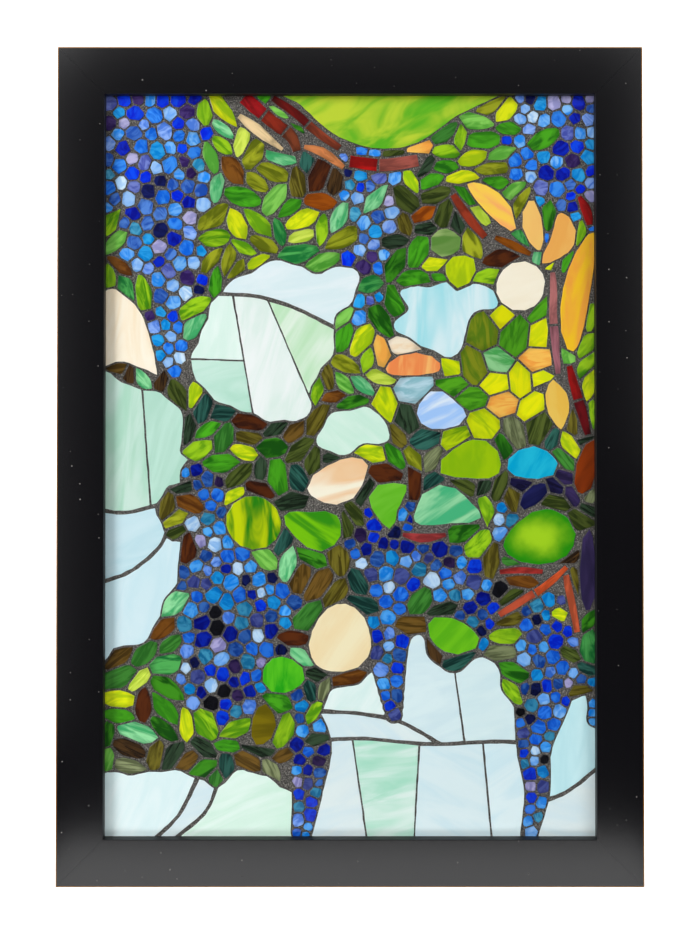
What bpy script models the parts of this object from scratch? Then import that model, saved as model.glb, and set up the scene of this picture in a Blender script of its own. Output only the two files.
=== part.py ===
"""Mosaic glass suncatcher: a mitred wooden frame round a sheet of clear glass faced with grouted mosaic.

Metres, +Z up. The front faces -Y and the back of the frame lies in the plane Y = 0. The origin is the
middle of the top rail's back face, where the frame rests on its wall. The picture has coordinates of its
own: u runs right and v runs up from the lower left corner of the sight opening, the part of the glass
that the frame's lip leaves in view.
"""

import math

import bmesh
import bpy
import numpy as np

# Glass and frame
GLASS_W = 0.508
GLASS_H = 0.762
GLASS_T = 0.003
LIP_OVERLAP = 0.00635
RAIL_W = 0.0476
FRAME_D = 0.022
LIP_D = 0.0105
REBATE_PLAY = 0.0008
ARRIS = 0.0007
GAP = 0.0003

SIGHT_W = GLASS_W - 2 * LIP_OVERLAP
SIGHT_H = GLASS_H - 2 * LIP_OVERLAP
FRAME_W = SIGHT_W + 2 * RAIL_W
FRAME_H = SIGHT_H + 2 * RAIL_W
SIGHT_BOTTOM = -RAIL_W / 2 - SIGHT_H

# Mosaic, from its front to the back of the sheet
TILE_T = 0.003
GROUT_LOW = 0.0003
BED_RIM = 0.003
TILE_FRONT = -FRAME_D + LIP_D + GAP
TILE_BACK = TILE_FRONT + TILE_T
SHEET_FRONT = TILE_BACK + GAP

# Cutting the large pieces
JOINT = 0.0032
SCORED_JOINT = 0.0019
STEM_JOINT = 0.0042
LOBE_LENGTH = 0.043
GRID = 0.0008
NIBBLE = 0.0004
BITE_DEPTH = 0.035
BITE_SWAY = 0.28
SMALLEST_PANE = 0.00022

# Bunches of grapes, as a spine of (u, v, radius). The panes of sky stop short of them.
BUNCHES = (
    ((0.046, 0.745, 0.058), (0.050, 0.680, 0.058), (0.056, 0.620, 0.050), (0.062, 0.560, 0.034),
     (0.066, 0.505, 0.020), (0.064, 0.462, 0.009)),
    ((0.096, 0.362, 0.020), (0.104, 0.320, 0.024), (0.120, 0.262, 0.046), (0.138, 0.205, 0.062),
     (0.110, 0.168, 0.054), (0.124, 0.132, 0.030)),
    ((0.186, 0.142, 0.012), (0.206, 0.096, 0.021), (0.205, 0.050, 0.015), (0.199, 0.004, 0.010)),
    ((0.288, 0.300, 0.044), (0.290, 0.244, 0.030), (0.286, 0.190, 0.020), (0.292, 0.122, 0.008)),
    ((0.448, 0.205, 0.036), (0.444, 0.150, 0.030), (0.434, 0.090, 0.017), (0.437, 0.045, 0.012),
     (0.429, 0.002, 0.008)),
)

# Openings among the leaves, each cut into panes: its outline, how far its edge waves in and out, the thin
# score lines that part its panes, and the stems, wider lines of grout
OPENINGS = {
    "cream_corner": (
        ((-0.012, 0.474), (-0.012, 0.530), (0.006, 0.552), (0.036, 0.528), (0.054, 0.498),
         (0.060, 0.464), (0.036, 0.474), (0.012, 0.480)),
        0.0012,
        (),
        (),
    ),
    "sky_fan": (
        ((0.086, 0.474), (0.098, 0.512), (0.112, 0.546), (0.150, 0.572), (0.180, 0.582), (0.214, 0.570),
         (0.250, 0.574), (0.252, 0.548), (0.230, 0.520), (0.230, 0.490), (0.208, 0.458), (0.204, 0.424),
         (0.172, 0.420), (0.142, 0.430), (0.112, 0.442)),
        0.0026,
        (((0.1285, 0.5475), (0.152, 0.410)),
         ((0.163, 0.5435), (0.214, 0.426)),
         ((0.080, 0.482), (0.140, 0.480))),
        (((0.100, 0.548), (0.150, 0.546), (0.196, 0.532), (0.246, 0.506)),),
    ),
    "sky_left": (
        ((-0.012, 0.448), (0.026, 0.452), (0.060, 0.444), (0.078, 0.418), (0.076, 0.390), (0.092, 0.366),
         (0.062, 0.350), (0.052, 0.326), (0.060, 0.304), (0.086, 0.290), (0.088, 0.268), (0.062, 0.244),
         (0.048, 0.210), (0.030, 0.192), (0.008, 0.190), (-0.010, 0.196)),
        0.0026,
        (((0.036, 0.460), (0.0458, 0.331)),),
        (((-0.010, 0.330), (0.020, 0.326), (0.062, 0.336)),
         ((-0.010, 0.254), (0.024, 0.266), (0.052, 0.288), (0.062, 0.306))),
    ),
    "sky_small": (
        ((0.216, 0.398), (0.230, 0.424), (0.254, 0.432), (0.278, 0.426), (0.286, 0.402), (0.262, 0.394),
         (0.236, 0.386)),
        0.0026,
        (),
        (),
    ),
    "sky_middle": (
        ((0.300, 0.552), (0.340, 0.557), (0.390, 0.556), (0.394, 0.536), (0.368, 0.524), (0.364, 0.500),
         (0.350, 0.484), (0.322, 0.494), (0.294, 0.514), (0.308, 0.534)),
        0.0026,
        (),
        (),
    ),
    "sky_low": (
        ((-0.010, -0.010), (-0.010, 0.056), (0.028, 0.062), (0.070, 0.064), (0.096, 0.056), (0.112, 0.048),
         (0.136, 0.064), (0.164, 0.058), (0.184, 0.044), (0.210, 0.040), (0.222, 0.130), (0.242, 0.150),
         (0.262, 0.156), (0.292, 0.182), (0.318, 0.200), (0.332, 0.174), (0.356, 0.164), (0.382, 0.180),
         (0.398, 0.164), (0.406, 0.138), (0.430, 0.110), (0.450, 0.142), (0.472, 0.134), (0.487, 0.142),
         (0.489, 0.112), (0.512, 0.094), (0.510, -0.010)),
        0.0022,
        (((0.250, 0.097), (0.266, -0.012)),
         ((0.318, 0.0930), (0.312, -0.012)),
         ((0.382, 0.0945), (0.392, -0.012)),
         ((0.352, 0.176), (0.364, 0.0935))),
        (((0.040, -0.012), (0.074, 0.020), (0.096, 0.064)),
         ((0.058, -0.012), (0.100, 0.022), (0.116, 0.058)),
         ((0.212, 0.096), (0.262, 0.098), (0.330, 0.092), (0.396, 0.095), (0.440, 0.092)),
         ((0.214, 0.126), (0.258, 0.123), (0.300, 0.114), (0.338, 0.093)),
         ((0.440, 0.034), (0.470, 0.046), (0.514, 0.082))),
    ),
    "hill": (
        ((0.172, 0.766), (0.198, 0.740), (0.224, 0.716), (0.250, 0.702), (0.282, 0.696), (0.316, 0.702),
         (0.354, 0.728), (0.404, 0.766)),
        0.0,
        (),
        (),
    ),
}

# Large single pieces: centre u and v, half length, half width, turn in degrees, how far the ends come to
# a point (0 to 1), how far the middle is bowed, how deep the three lobes are, and the number of sides
LARGE_PIECES = {
    "cream_disc": (0.421, 0.556, 0.0250, 0.0245, 10, 0.0, 0.0, 0.00, 15),
    "cream_peach": (0.236, 0.358, 0.0320, 0.0210, 24, 0.2, 0.0, 0.08, 14),
    "cream_beige": (0.238, 0.198, 0.0350, 0.0310, 62, 0.1, 0.0, 0.07, 18),
    "amber_top": (0.392, 0.638, 0.0330, 0.0112, -46, 0.5, 0.004, 0.09, 12),
    "amber_spear": (0.434, 0.618, 0.0270, 0.0098, 100, 0.6, 0.0, 0.10, 11),
    "amber_bow": (0.459, 0.604, 0.0280, 0.0120, 70, 0.1, -0.005, 0.05, 13),
    "amber_edge": (0.481, 0.549, 0.0640, 0.0135, 79, 0.2, 0.004, 0.05, 16),
    "amber_drop": (0.458, 0.436, 0.0250, 0.0115, 98, 0.7, 0.0, 0.04, 12),
    "amber_bar": (0.312, 0.474, 0.0280, 0.0110, 4, 0.0, 0.003, 0.05, 13),
    "leaf_striped_top": (0.345, 0.600, 0.0160, 0.0140, 8, 0.0, 0.0, 0.05, 9),
    "leaf_lime_top": (0.360, 0.571, 0.0170, 0.0150, 70, 0.0, 0.0, 0.08, 9),
    "leaf_lime_round": (0.150, 0.316, 0.0280, 0.0265, 0, 0.0, 0.0, 0.00, 16),
    "leaf_green_wide": (0.212, 0.312, 0.0285, 0.0200, -8, 0.1, -0.005, 0.12, 14),
    "leaf_lime_wide": (0.372, 0.377, 0.0310, 0.0200, 4, 0.0, 0.003, 0.10, 13),
    "leaf_jade_wide": (0.344, 0.329, 0.0340, 0.0190, 2, 0.1, 0.004, 0.10, 14),
    "leaf_green_kidney": (0.288, 0.336, 0.0240, 0.0155, 74, 0.0, 0.005, 0.10, 13),
    "leaf_shaded_right": (0.440, 0.302, 0.0350, 0.0280, 22, 0.1, -0.004, 0.10, 16),
    "leaf_green_low": (0.352, 0.204, 0.0270, 0.0165, -24, 0.2, -0.005, 0.12, 13),
    "leaf_striped_low": (0.180, 0.162, 0.0210, 0.0185, -4, 0.0, 0.0, 0.04, 12),
    "leaf_olive_low": (0.160, 0.112, 0.0210, 0.0125, 84, 0.2, 0.0, 0.08, 11),
    "blue_cyan": (0.433, 0.376, 0.0255, 0.0165, -4, 0.0, 0.0, 0.07, 11),
    "blue_pale": (0.340, 0.430, 0.0235, 0.0190, -26, 0.0, -0.003, 0.12, 13),
    "rust_edge": (0.488, 0.372, 0.0290, 0.0115, 76, 0.2, 0.0, 0.03, 9),
    "plum_edge": (0.489, 0.268, 0.0420, 0.0085, 90, 0.1, 0.0, 0.03, 9),
    "plum_slope": (0.434, 0.343, 0.0180, 0.0085, 42, 0.1, 0.0, 0.05, 9),
}

# Colour (linear), roughness and metallic value of each finish
FINISHES = {
    "black_lacquered_wood": ((0.011, 0.010, 0.014), 0.42, 0.0),
    "clear_glass": ((0.80, 0.90, 0.86), 0.05, 0.0),
    "cement_grout": ((0.15, 0.14, 0.13), 0.95, 0.0),
    "sky": ((0.72, 0.86, 0.87), 0.15, 0.0),
    "cream": ((0.85, 0.78, 0.62), 0.15, 0.0),
    "amber": ((0.93, 0.52, 0.10), 0.15, 0.0),
    "leaf": ((0.22, 0.50, 0.03), 0.15, 0.0),
    "hill": ((0.36, 0.68, 0.05), 0.15, 0.0),
    "blue": ((0.05, 0.40, 0.70), 0.15, 0.0),
    "rust": ((0.35, 0.07, 0.02), 0.15, 0.0),
    "plum": ((0.05, 0.03, 0.12), 0.15, 0.0),
}


def clear_scene():
    for obj in list(bpy.data.objects):
        bpy.data.objects.remove(obj, do_unlink=True)


def finish(name):
    """The Principled material called name, made once."""
    if name in bpy.data.materials:
        return bpy.data.materials[name]
    colour, roughness, metallic = FINISHES[name]
    material = bpy.data.materials.new(name)
    material.use_nodes = True
    shader = material.node_tree.nodes["Principled BSDF"]
    shader.inputs["Base Color"].default_value = (*colour, 1.0)
    shader.inputs["Roughness"].default_value = roughness
    shader.inputs["Metallic"].default_value = metallic
    return material


# Frame


def rail_mesh(name, length):
    """A rail along X with mitred ends: its outer edge on Z = 0, its width towards -Z, its back on Y = 0."""
    rebate_w = LIP_OVERLAP + REBATE_PLAY
    profile = (
        (0.0, 0.0),
        (0.0, RAIL_W - rebate_w),
        (-FRAME_D + LIP_D, RAIL_W - rebate_w),
        (-FRAME_D + LIP_D, RAIL_W),
        (-FRAME_D, RAIL_W),
        (-FRAME_D, 0.0),
    )
    rail = bmesh.new()
    start = rail.faces.new([rail.verts.new((0.0, depth, -across)) for depth, across in profile])
    grown = bmesh.ops.extrude_face_region(rail, geom=[start])
    far_end = [item for item in grown["geom"] if isinstance(item, bmesh.types.BMVert)]
    bmesh.ops.translate(rail, verts=far_end, vec=(length, 0.0, 0.0))
    for vert in rail.verts:
        inset = GAP / 2 - vert.co.z
        vert.co.x += inset - length / 2 if vert not in far_end else -inset - length / 2
    bmesh.ops.recalc_face_normals(rail, faces=rail.faces)
    mesh = bpy.data.meshes.new(name)
    rail.to_mesh(mesh)
    rail.free()
    return mesh


def add_rail(name, length, place, turn, collection):
    rail = bpy.data.objects.new(name, rail_mesh(name, length))
    rail.location = place
    rail.rotation_euler = (0.0, turn, 0.0)
    rail.data.materials.append(finish("black_lacquered_wood"))
    arris = rail.modifiers.new("worn arris", "BEVEL")
    arris.width = ARRIS
    arris.segments = 2
    arris.limit_method = "ANGLE"
    arris.angle_limit = math.radians(40)
    collection.objects.link(rail)


def add_frame(collection):
    top = RAIL_W / 2
    middle = top - FRAME_H / 2
    add_rail("frame_top", FRAME_W, (0.0, 0.0, top), 0.0, collection)
    add_rail("frame_bottom", FRAME_W, (0.0, 0.0, top - FRAME_H), math.pi, collection)
    add_rail("frame_left", FRAME_H, (-FRAME_W / 2, 0.0, middle), -math.pi / 2, collection)
    add_rail("frame_right", FRAME_H, (FRAME_W / 2, 0.0, middle), math.pi / 2, collection)


def add_plate(name, thickness, back, material, collection):
    """A plate the size of the glass, with its back face at Y = back."""
    mesh = bpy.data.meshes.new(name)
    plate = bmesh.new()
    bmesh.ops.create_cube(plate, size=1.0)
    bmesh.ops.scale(plate, verts=plate.verts, vec=(GLASS_W, thickness, GLASS_H))
    plate.to_mesh(mesh)
    plate.free()
    obj = bpy.data.objects.new(name, mesh)
    obj.location = (0.0, back - thickness / 2, SIGHT_BOTTOM + SIGHT_H / 2)
    obj.data.materials.append(finish(material))
    collection.objects.link(obj)
    return obj


# Outlines in the picture's u and v


def smooth_path(points, closed, steps=8):
    """A curve that runs through all the points (Catmull-Rom), as an array of places."""
    places = np.array(points, float)
    if closed:
        places = np.vstack([places[-1], places, places[:2]])
    else:
        places = np.vstack([2 * places[0] - places[1], places, 2 * places[-1] - places[-2]])
    share = np.linspace(0, 1, steps, endpoint=False)[:, None]
    runs = []
    for before, start, end, after in zip(places, places[1:], places[2:], places[3:]):
        runs.append(
            0.5 * (2 * start + (end - before) * share
                   + (2 * before - 5 * start + 4 * end - after) * share**2
                   + (3 * (start - end) + after - before) * share**3)
        )
    if not closed:
        runs.append(places[-2:-1])
    return np.vstack(runs)


def edge_distance(path, u, v, closed):
    """How far each place (u, v) is from the path."""
    nearest = np.full(u.shape, np.inf)
    ends = np.roll(path, -1, axis=0) if closed else path[1:]
    for (u0, v0), (u1, v1) in zip(path, ends):
        run = np.array((u1 - u0, v1 - v0))
        share = ((u - u0) * run[0] + (v - v0) * run[1]) / max(run @ run, 1e-12)
        share = np.clip(share, 0, 1)
        nearest = np.minimum(nearest, np.hypot(u - u0 - share * run[0], v - v0 - share * run[1]))
    return nearest


def inside(outline, u, v):
    """True where the place (u, v) lies inside the closed outline."""
    crossed = np.zeros(u.shape, bool)
    for (u0, v0), (u1, v1) in zip(outline, np.roll(outline, -1, axis=0)):
        if v0 != v1:
            crossed ^= ((v0 > v) != (v1 > v)) & (u < u0 + (v - v0) * (u1 - u0) / (v1 - v0))
    return crossed


def signed_distance(outline, u, v):
    """The distance to a closed outline, below zero inside it."""
    return np.where(inside(outline, u, v), -1, 1) * edge_distance(outline, u, v, True)


def bunch_distance(spine, u, v):
    """The distance to the tapered body round a spine of (u, v, radius), below zero inside it."""
    nearest = np.full(u.shape, np.inf)
    for place_u, place_v, radius in smooth_path(spine, False):
        nearest = np.minimum(nearest, np.hypot(u - place_u, v - place_v) - radius)
    return nearest


def nibbled_outline(centre_u, centre_v, half_length, half_width, turn, point, bow, lobe, sides):
    """The outline of a piece nipped to shape: an oval of straight bites, pointed, bowed and lobed as asked.

    Where the piece lies sets how its bites vary, so that no two pieces are nipped alike.
    """
    outline = []
    for side in range(sides):
        angle = 2 * math.pi * (side + BITE_SWAY * math.sin(5.3 * side + 60 * centre_u)) / sides
        bite = 1 + BITE_DEPTH * math.sin(7.1 * side + 90 * centre_v)
        bite += lobe * math.sin(3 * angle + 80 * centre_u)
        along = math.cos(angle) * half_length * bite
        across = math.sin(angle) * half_width * bite * (1 - point * math.cos(angle) ** 4)
        across += bow * (1 - 2 * math.cos(angle) ** 2)
        turned = math.radians(turn)
        outline.append(
            (centre_u + along * math.cos(turned) - across * math.sin(turned),
             centre_v + along * math.sin(turned) + across * math.cos(turned))
        )
    return kept_in_field(np.array(outline))


def kept_in_field(outline):
    """The outline, held inside the field that the tiles cover, which runs a little way under the lip."""
    under = LIP_OVERLAP - BED_RIM
    return np.clip(outline, (-under, -under), (SIGHT_W + under, SIGHT_H + under))


def contours(field, left, bottom):
    """The closed loops along which the field, given over a square grid, is zero.

    Each square is halved into two triangles. A loop crosses two sides of every triangle that it visits.
    """
    below = field < 0
    count = below[:-1, :-1].astype(int) + below[1:, :-1] + below[:-1, 1:] + below[1:, 1:]
    linked = {}
    for row, column in np.argwhere((count > 0) & (count < 4)).tolist():
        near, far = (row, column), (row + 1, column + 1)
        for third in ((row, column + 1), (row + 1, column)):
            sides = [tuple(sorted(ends)) for ends in ((near, far), (near, third), (third, far))]
            crossed = [ends for ends in sides if below[ends[0]] != below[ends[1]]]
            if crossed:
                linked.setdefault(crossed[0], []).append(crossed[1])
                linked.setdefault(crossed[1], []).append(crossed[0])
    loops = []
    while linked:
        side = min(linked)
        loop = []
        while side in linked:
            start, end = side
            share = field[start] / (field[start] - field[end])
            row = start[0] + share * (end[0] - start[0])
            column = start[1] + share * (end[1] - start[1])
            loop.append((left + GRID * column, bottom + GRID * row))
            side = next((other for other in linked.pop(side) if other in linked), None)
        loops.append(np.array(loop))
    return loops


def straightened(points):
    """The points of an open run that stand more than one nibble off the lines between the others."""
    ends = points[[0, -1]]
    offset = edge_distance(ends, points[:, 0], points[:, 1], False)
    far = int(offset.argmax())
    if offset[far] < NIBBLE:
        return list(ends)
    return straightened(points[: far + 1])[:-1] + straightened(points[far:])


def nibbled_loop(loop):
    """The loop as a hand cuts it: short straight bites, none further than NIBBLE off the line."""
    start = int(np.hypot(*(loop - loop.mean(0)).T).argmax())
    loop = np.roll(loop, -start, axis=0)
    far = int(np.hypot(*(loop - loop[0]).T).argmax())
    there, back = straightened(loop[: far + 1]), straightened(np.vstack([loop[far:], loop[:1]]))
    return np.array(there[:-1] + back[:-1])


def area(outline):
    u, v = outline.T
    return (u * np.roll(v, -1) - v * np.roll(u, -1)).sum() / 2


def grown(outline, amount):
    """The outline with every side moved outwards by the amount."""
    outline = outline if area(outline) > 0 else outline[::-1]
    before = outline - np.roll(outline, 1, axis=0)
    before /= np.hypot(*before.T)[:, None]
    after = np.roll(before, -1, axis=0)
    out = np.stack([before[:, 1] + after[:, 1], -before[:, 0] - after[:, 0]], axis=1)
    out /= np.maximum((out**2).sum(1) / 2, 0.5)[:, None]
    return outline + amount * out


def panes(outline, wave, score_lines, stems, pieces):
    """The panes of one opening, cut clear of the bunches and of the large single pieces."""
    edge = smooth_path(outline, True)
    margin = 2 * wave + 3 * GRID
    left, bottom = edge.min(0) - margin
    columns, rows = np.ceil((edge.max(0) + margin - (left, bottom)) / GRID).astype(int)
    u, v = np.meshgrid(left + GRID * np.arange(columns), bottom + GRID * np.arange(rows))
    field = signed_distance(edge, u, v)
    turns = 2 * math.pi / LOBE_LENGTH
    field += wave * np.sin(turns * (u + 0.4 * v)) * np.sin(turns * (v - 0.4 * u))
    under = LIP_OVERLAP - BED_RIM
    field = np.maximum(field, np.maximum(-under - u, u - SIGHT_W - under))
    field = np.maximum(field, np.maximum(-under - v, v - SIGHT_H - under))
    for lines, width in ((score_lines, SCORED_JOINT), (stems, STEM_JOINT)):
        for line in lines:
            field = np.maximum(field, width / 2 - edge_distance(smooth_path(line, False), u, v, False))
    for bunch in BUNCHES:
        field = np.maximum(field, JOINT / 2 - bunch_distance(bunch, u, v))
    for piece in pieces:
        if np.hypot(*(piece - edge.mean(0)).T).min() < np.hypot(*(edge - edge.mean(0)).T).max() + JOINT:
            field = np.maximum(field, JOINT - signed_distance(piece, u, v))
    loops = [nibbled_loop(loop) for loop in contours(field, left, bottom)]
    loops = [loop for loop in loops if abs(area(loop)) > SMALLEST_PANE]
    return sorted(loops, key=lambda loop: (-round(loop[:, 1].mean(), 2), loop[:, 0].mean()))


# Solids


def flat_outlines(name, outlines, back, thickness, collection):
    """A curve object that is a plate with each of these outlines, its back face at Y = back."""
    curve = bpy.data.curves.new(name, "CURVE")
    curve.dimensions = "2D"
    curve.fill_mode = "BOTH"
    curve.extrude = thickness / 2
    for outline in outlines:
        spline = curve.splines.new("POLY")
        spline.points.add(len(outline) - 1)
        for point, (u, v) in zip(spline.points, outline):
            point.co = (u - SIGHT_W / 2, v + SIGHT_BOTTOM, 0.0, 1.0)
        spline.use_cyclic_u = True
    obj = bpy.data.objects.new(name, curve)
    obj.location = (0.0, back - thickness / 2, 0.0)
    obj.rotation_euler = (math.pi / 2, 0.0, 0.0)
    collection.objects.link(obj)
    return obj


def made_mesh(curve_object, collection):
    """The curve object made a mesh object, with its caps welded to its sides."""
    bpy.context.view_layer.update()
    seen = curve_object.evaluated_get(bpy.context.evaluated_depsgraph_get())
    mesh = bpy.data.meshes.new_from_object(seen)
    welded = bmesh.new()
    welded.from_mesh(mesh)
    bmesh.ops.remove_doubles(welded, verts=welded.verts, dist=1e-6)
    welded.to_mesh(mesh)
    welded.free()
    name = curve_object.name
    place = curve_object.matrix_world.copy()
    bpy.data.objects.remove(curve_object)
    obj = bpy.data.objects.new(name, mesh)
    obj.matrix_world = place
    collection.objects.link(obj)
    return obj


def add_grout_bed(outlines, collection, cutters):
    """The grout, one plate the size of the glass, with a pocket right through it for each large piece."""
    bed = add_plate("grout_bed", TILE_T - GROUT_LOW, TILE_BACK, "cement_grout", collection)
    pockets = [grown(outline, GAP) for outline in outlines]
    cutter = made_mesh(flat_outlines("pockets", pockets, TILE_BACK + TILE_T, 3 * TILE_T, cutters), cutters)
    cutter.hide_render = True
    cutter.display_type = "WIRE"
    cut = bed.modifiers.new("pockets", "BOOLEAN")
    cut.operation = "DIFFERENCE"
    cut.solver = "EXACT"
    cut.object = cutter


def add_mosaic(collection, cutters):
    pieces = {name: nibbled_outline(*numbers) for name, numbers in LARGE_PIECES.items()}
    single = list(pieces.values())
    for name, opening in OPENINGS.items():
        cut = panes(*opening, single)
        for number, loop in enumerate(cut, 1):
            pieces[name if len(cut) == 1 else f"{name}_{number}"] = loop
    for name, outline in pieces.items():
        piece = flat_outlines(name, [outline], TILE_BACK, TILE_T, collection)
        piece.data.materials.append(finish(name.split("_")[0]))
    add_grout_bed(pieces.values(), collection, cutters)


def main():
    clear_scene()
    collection = bpy.data.collections.new("mosaic_glass_suncatcher")
    bpy.context.scene.collection.children.link(collection)
    add_frame(collection)
    add_plate("glass_sheet", GLASS_T, SHEET_FRONT + GLASS_T, "clear_glass", collection)
    cutters = bpy.data.collections.new("cutters")
    bpy.context.scene.collection.children.link(cutters)
    add_mosaic(collection, cutters)


main()
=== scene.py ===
"""Looks of the mosaic glass suncatcher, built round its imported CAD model.

Metres, +Z up, the front towards -Y. The picture has the coordinates that the part's source gives it: u runs
right and v runs up from the lower left corner of the sight opening. The CAD holds the frame, the glass sheet
and the large pieces of glass. This script cuts and lays the small ones round them: grapes, leaves and strips
of vine, then grouts the joints.
"""

import math

import bmesh
import bpy
import numpy as np
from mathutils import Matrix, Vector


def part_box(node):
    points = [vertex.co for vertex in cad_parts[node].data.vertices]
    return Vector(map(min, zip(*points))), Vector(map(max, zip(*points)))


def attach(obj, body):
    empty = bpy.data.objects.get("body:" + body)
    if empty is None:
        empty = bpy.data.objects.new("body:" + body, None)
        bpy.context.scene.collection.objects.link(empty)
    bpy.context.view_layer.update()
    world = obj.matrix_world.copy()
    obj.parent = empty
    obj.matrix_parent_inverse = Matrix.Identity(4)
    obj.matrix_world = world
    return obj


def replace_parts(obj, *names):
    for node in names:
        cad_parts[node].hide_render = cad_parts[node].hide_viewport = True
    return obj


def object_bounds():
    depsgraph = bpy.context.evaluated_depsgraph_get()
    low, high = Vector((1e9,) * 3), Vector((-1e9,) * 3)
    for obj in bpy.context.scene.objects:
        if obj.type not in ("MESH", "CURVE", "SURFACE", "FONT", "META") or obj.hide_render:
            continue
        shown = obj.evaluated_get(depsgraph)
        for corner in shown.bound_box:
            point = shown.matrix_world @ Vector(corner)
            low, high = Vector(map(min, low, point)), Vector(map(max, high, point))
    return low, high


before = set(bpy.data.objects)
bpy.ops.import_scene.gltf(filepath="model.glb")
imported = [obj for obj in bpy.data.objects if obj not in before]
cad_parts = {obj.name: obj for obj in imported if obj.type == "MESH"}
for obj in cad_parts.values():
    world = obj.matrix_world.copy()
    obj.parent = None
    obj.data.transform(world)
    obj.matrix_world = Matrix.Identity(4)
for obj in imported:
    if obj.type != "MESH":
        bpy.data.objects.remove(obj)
CAD_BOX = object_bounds()

# Places that the frame gives
SIGHT_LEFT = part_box("frame_left")[1].x
SIGHT_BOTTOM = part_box("frame_bottom")[1].z
SIGHT_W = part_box("frame_right")[0].x - SIGHT_LEFT
SIGHT_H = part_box("frame_top")[0].z - SIGHT_BOTTOM
TILE_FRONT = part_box("hill")[0].y
TILE_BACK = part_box("hill")[1].y
TILE_T = TILE_BACK - TILE_FRONT
FIELD_MARGIN = SIGHT_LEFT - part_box("cream_corner")[0].x
BED_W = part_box("grout_bed")[1].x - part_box("grout_bed")[0].x
BED_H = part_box("grout_bed")[1].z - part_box("grout_bed")[0].z

# The rails' section, as in the part's source
RAIL_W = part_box("frame_top")[1].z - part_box("frame_top")[0].z
FRAME_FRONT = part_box("frame_top")[0].y
REBATE_FRONT = -0.0115
REBATE_W = 0.00715
RAIL_ARRIS = 0.0006
MITRE_GAP = 0.00014

# The laid glass: how far the grout lies below it, how uneven and tilted its fronts are, and its ground arris
GROUT_LOW = 0.0011
TILE_UNEVEN = 0.00012
TILE_TILT = 0.012
TILE_ARRIS = 0.0005

# Hand cutting: steps along a large piece's edge, how full it is left, how far it wavers, the shortest edge
# that takes an arris, and the same for a strip and for the nips round a small piece
CUT_STEP = 0.007
CUT_GROWTH = 0.00035
CUT_WAVER = 0.00016
SHORTEST_CUT = 0.0016
STRIP_STOPS = 6
STRIP_WAVER = 0.0002
NIP_WAVER = 0.012
NIP_SWING = 0.22

# Joints between grapes, between leaves, round a large piece and across a strip
GRAPE_JOINT = 0.0013
LEAF_JOINT = 0.0017
LARGE_JOINT = 0.0017
STRIP_JOINT = 0.0020

# Laying out the small pieces: the start of the random draws, the grid, the rounds of settling, how far a
# piece reaches in half lengths, how many neighbours cut it, how near another may start, and the smallest and
# slimmest piece (square metres, compactness) worth cutting
RANDOM_SEED = 20
LAYOUT_STEP = 0.001
OBSTACLE_STEP = 0.0014
RELAXING_ROUNDS = 14
REACH = 2.6
NEIGHBOURS = 23
NEAREST_START = 0.80
SMALLEST_TILE = 0.000030
SLIMMEST_TILE = 0.42

# How much small pieces differ: least and most, or the usual deviation
SPACING_RANGE = (0.78, 1.18)
SLENDER_RANGE = (0.85, 1.2)
POINT_RANGE = (0.55, 1.0)
SIZE_RANGE = (0.92, 1.05)
SKEW_RANGE = (-0.30, 0.30)
CONTRAST_RANGE = (0.65, 1.0)
STREAK_TURN = 0.15
TONE = 0.05

# Bunches of grapes, as a spine of (u, v, radius). The first five are the part's own.
BUNCHES = (
    ((0.046, 0.745, 0.058), (0.050, 0.680, 0.058), (0.056, 0.620, 0.050), (0.062, 0.560, 0.034),
     (0.066, 0.505, 0.020), (0.064, 0.462, 0.009)),
    ((0.096, 0.362, 0.020), (0.104, 0.320, 0.024), (0.120, 0.262, 0.046), (0.138, 0.205, 0.062),
     (0.110, 0.168, 0.054), (0.124, 0.132, 0.030)),
    ((0.186, 0.142, 0.012), (0.206, 0.096, 0.021), (0.205, 0.050, 0.015), (0.199, 0.004, 0.010)),
    ((0.288, 0.300, 0.044), (0.290, 0.244, 0.030), (0.286, 0.190, 0.020), (0.292, 0.122, 0.008)),
    ((0.448, 0.205, 0.036), (0.444, 0.150, 0.030), (0.434, 0.090, 0.017), (0.437, 0.045, 0.012),
     (0.429, 0.002, 0.008)),
    ((0.262, 0.668, 0.030), (0.268, 0.630, 0.030), (0.264, 0.590, 0.025), (0.262, 0.550, 0.016),
     (0.266, 0.520, 0.010)),
    ((0.462, 0.735, 0.052), (0.450, 0.695, 0.046), (0.444, 0.662, 0.030), (0.446, 0.640, 0.012)),
    ((0.360, 0.262, 0.040), (0.376, 0.226, 0.030), (0.382, 0.192, 0.012)),
    ((0.410, 0.322, 0.014), (0.398, 0.296, 0.016)),
    ((0.492, 0.150, 0.010), (0.494, 0.110, 0.009), (0.494, 0.060, 0.006)),
)
GRAPE_SPACING = 0.0152

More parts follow.
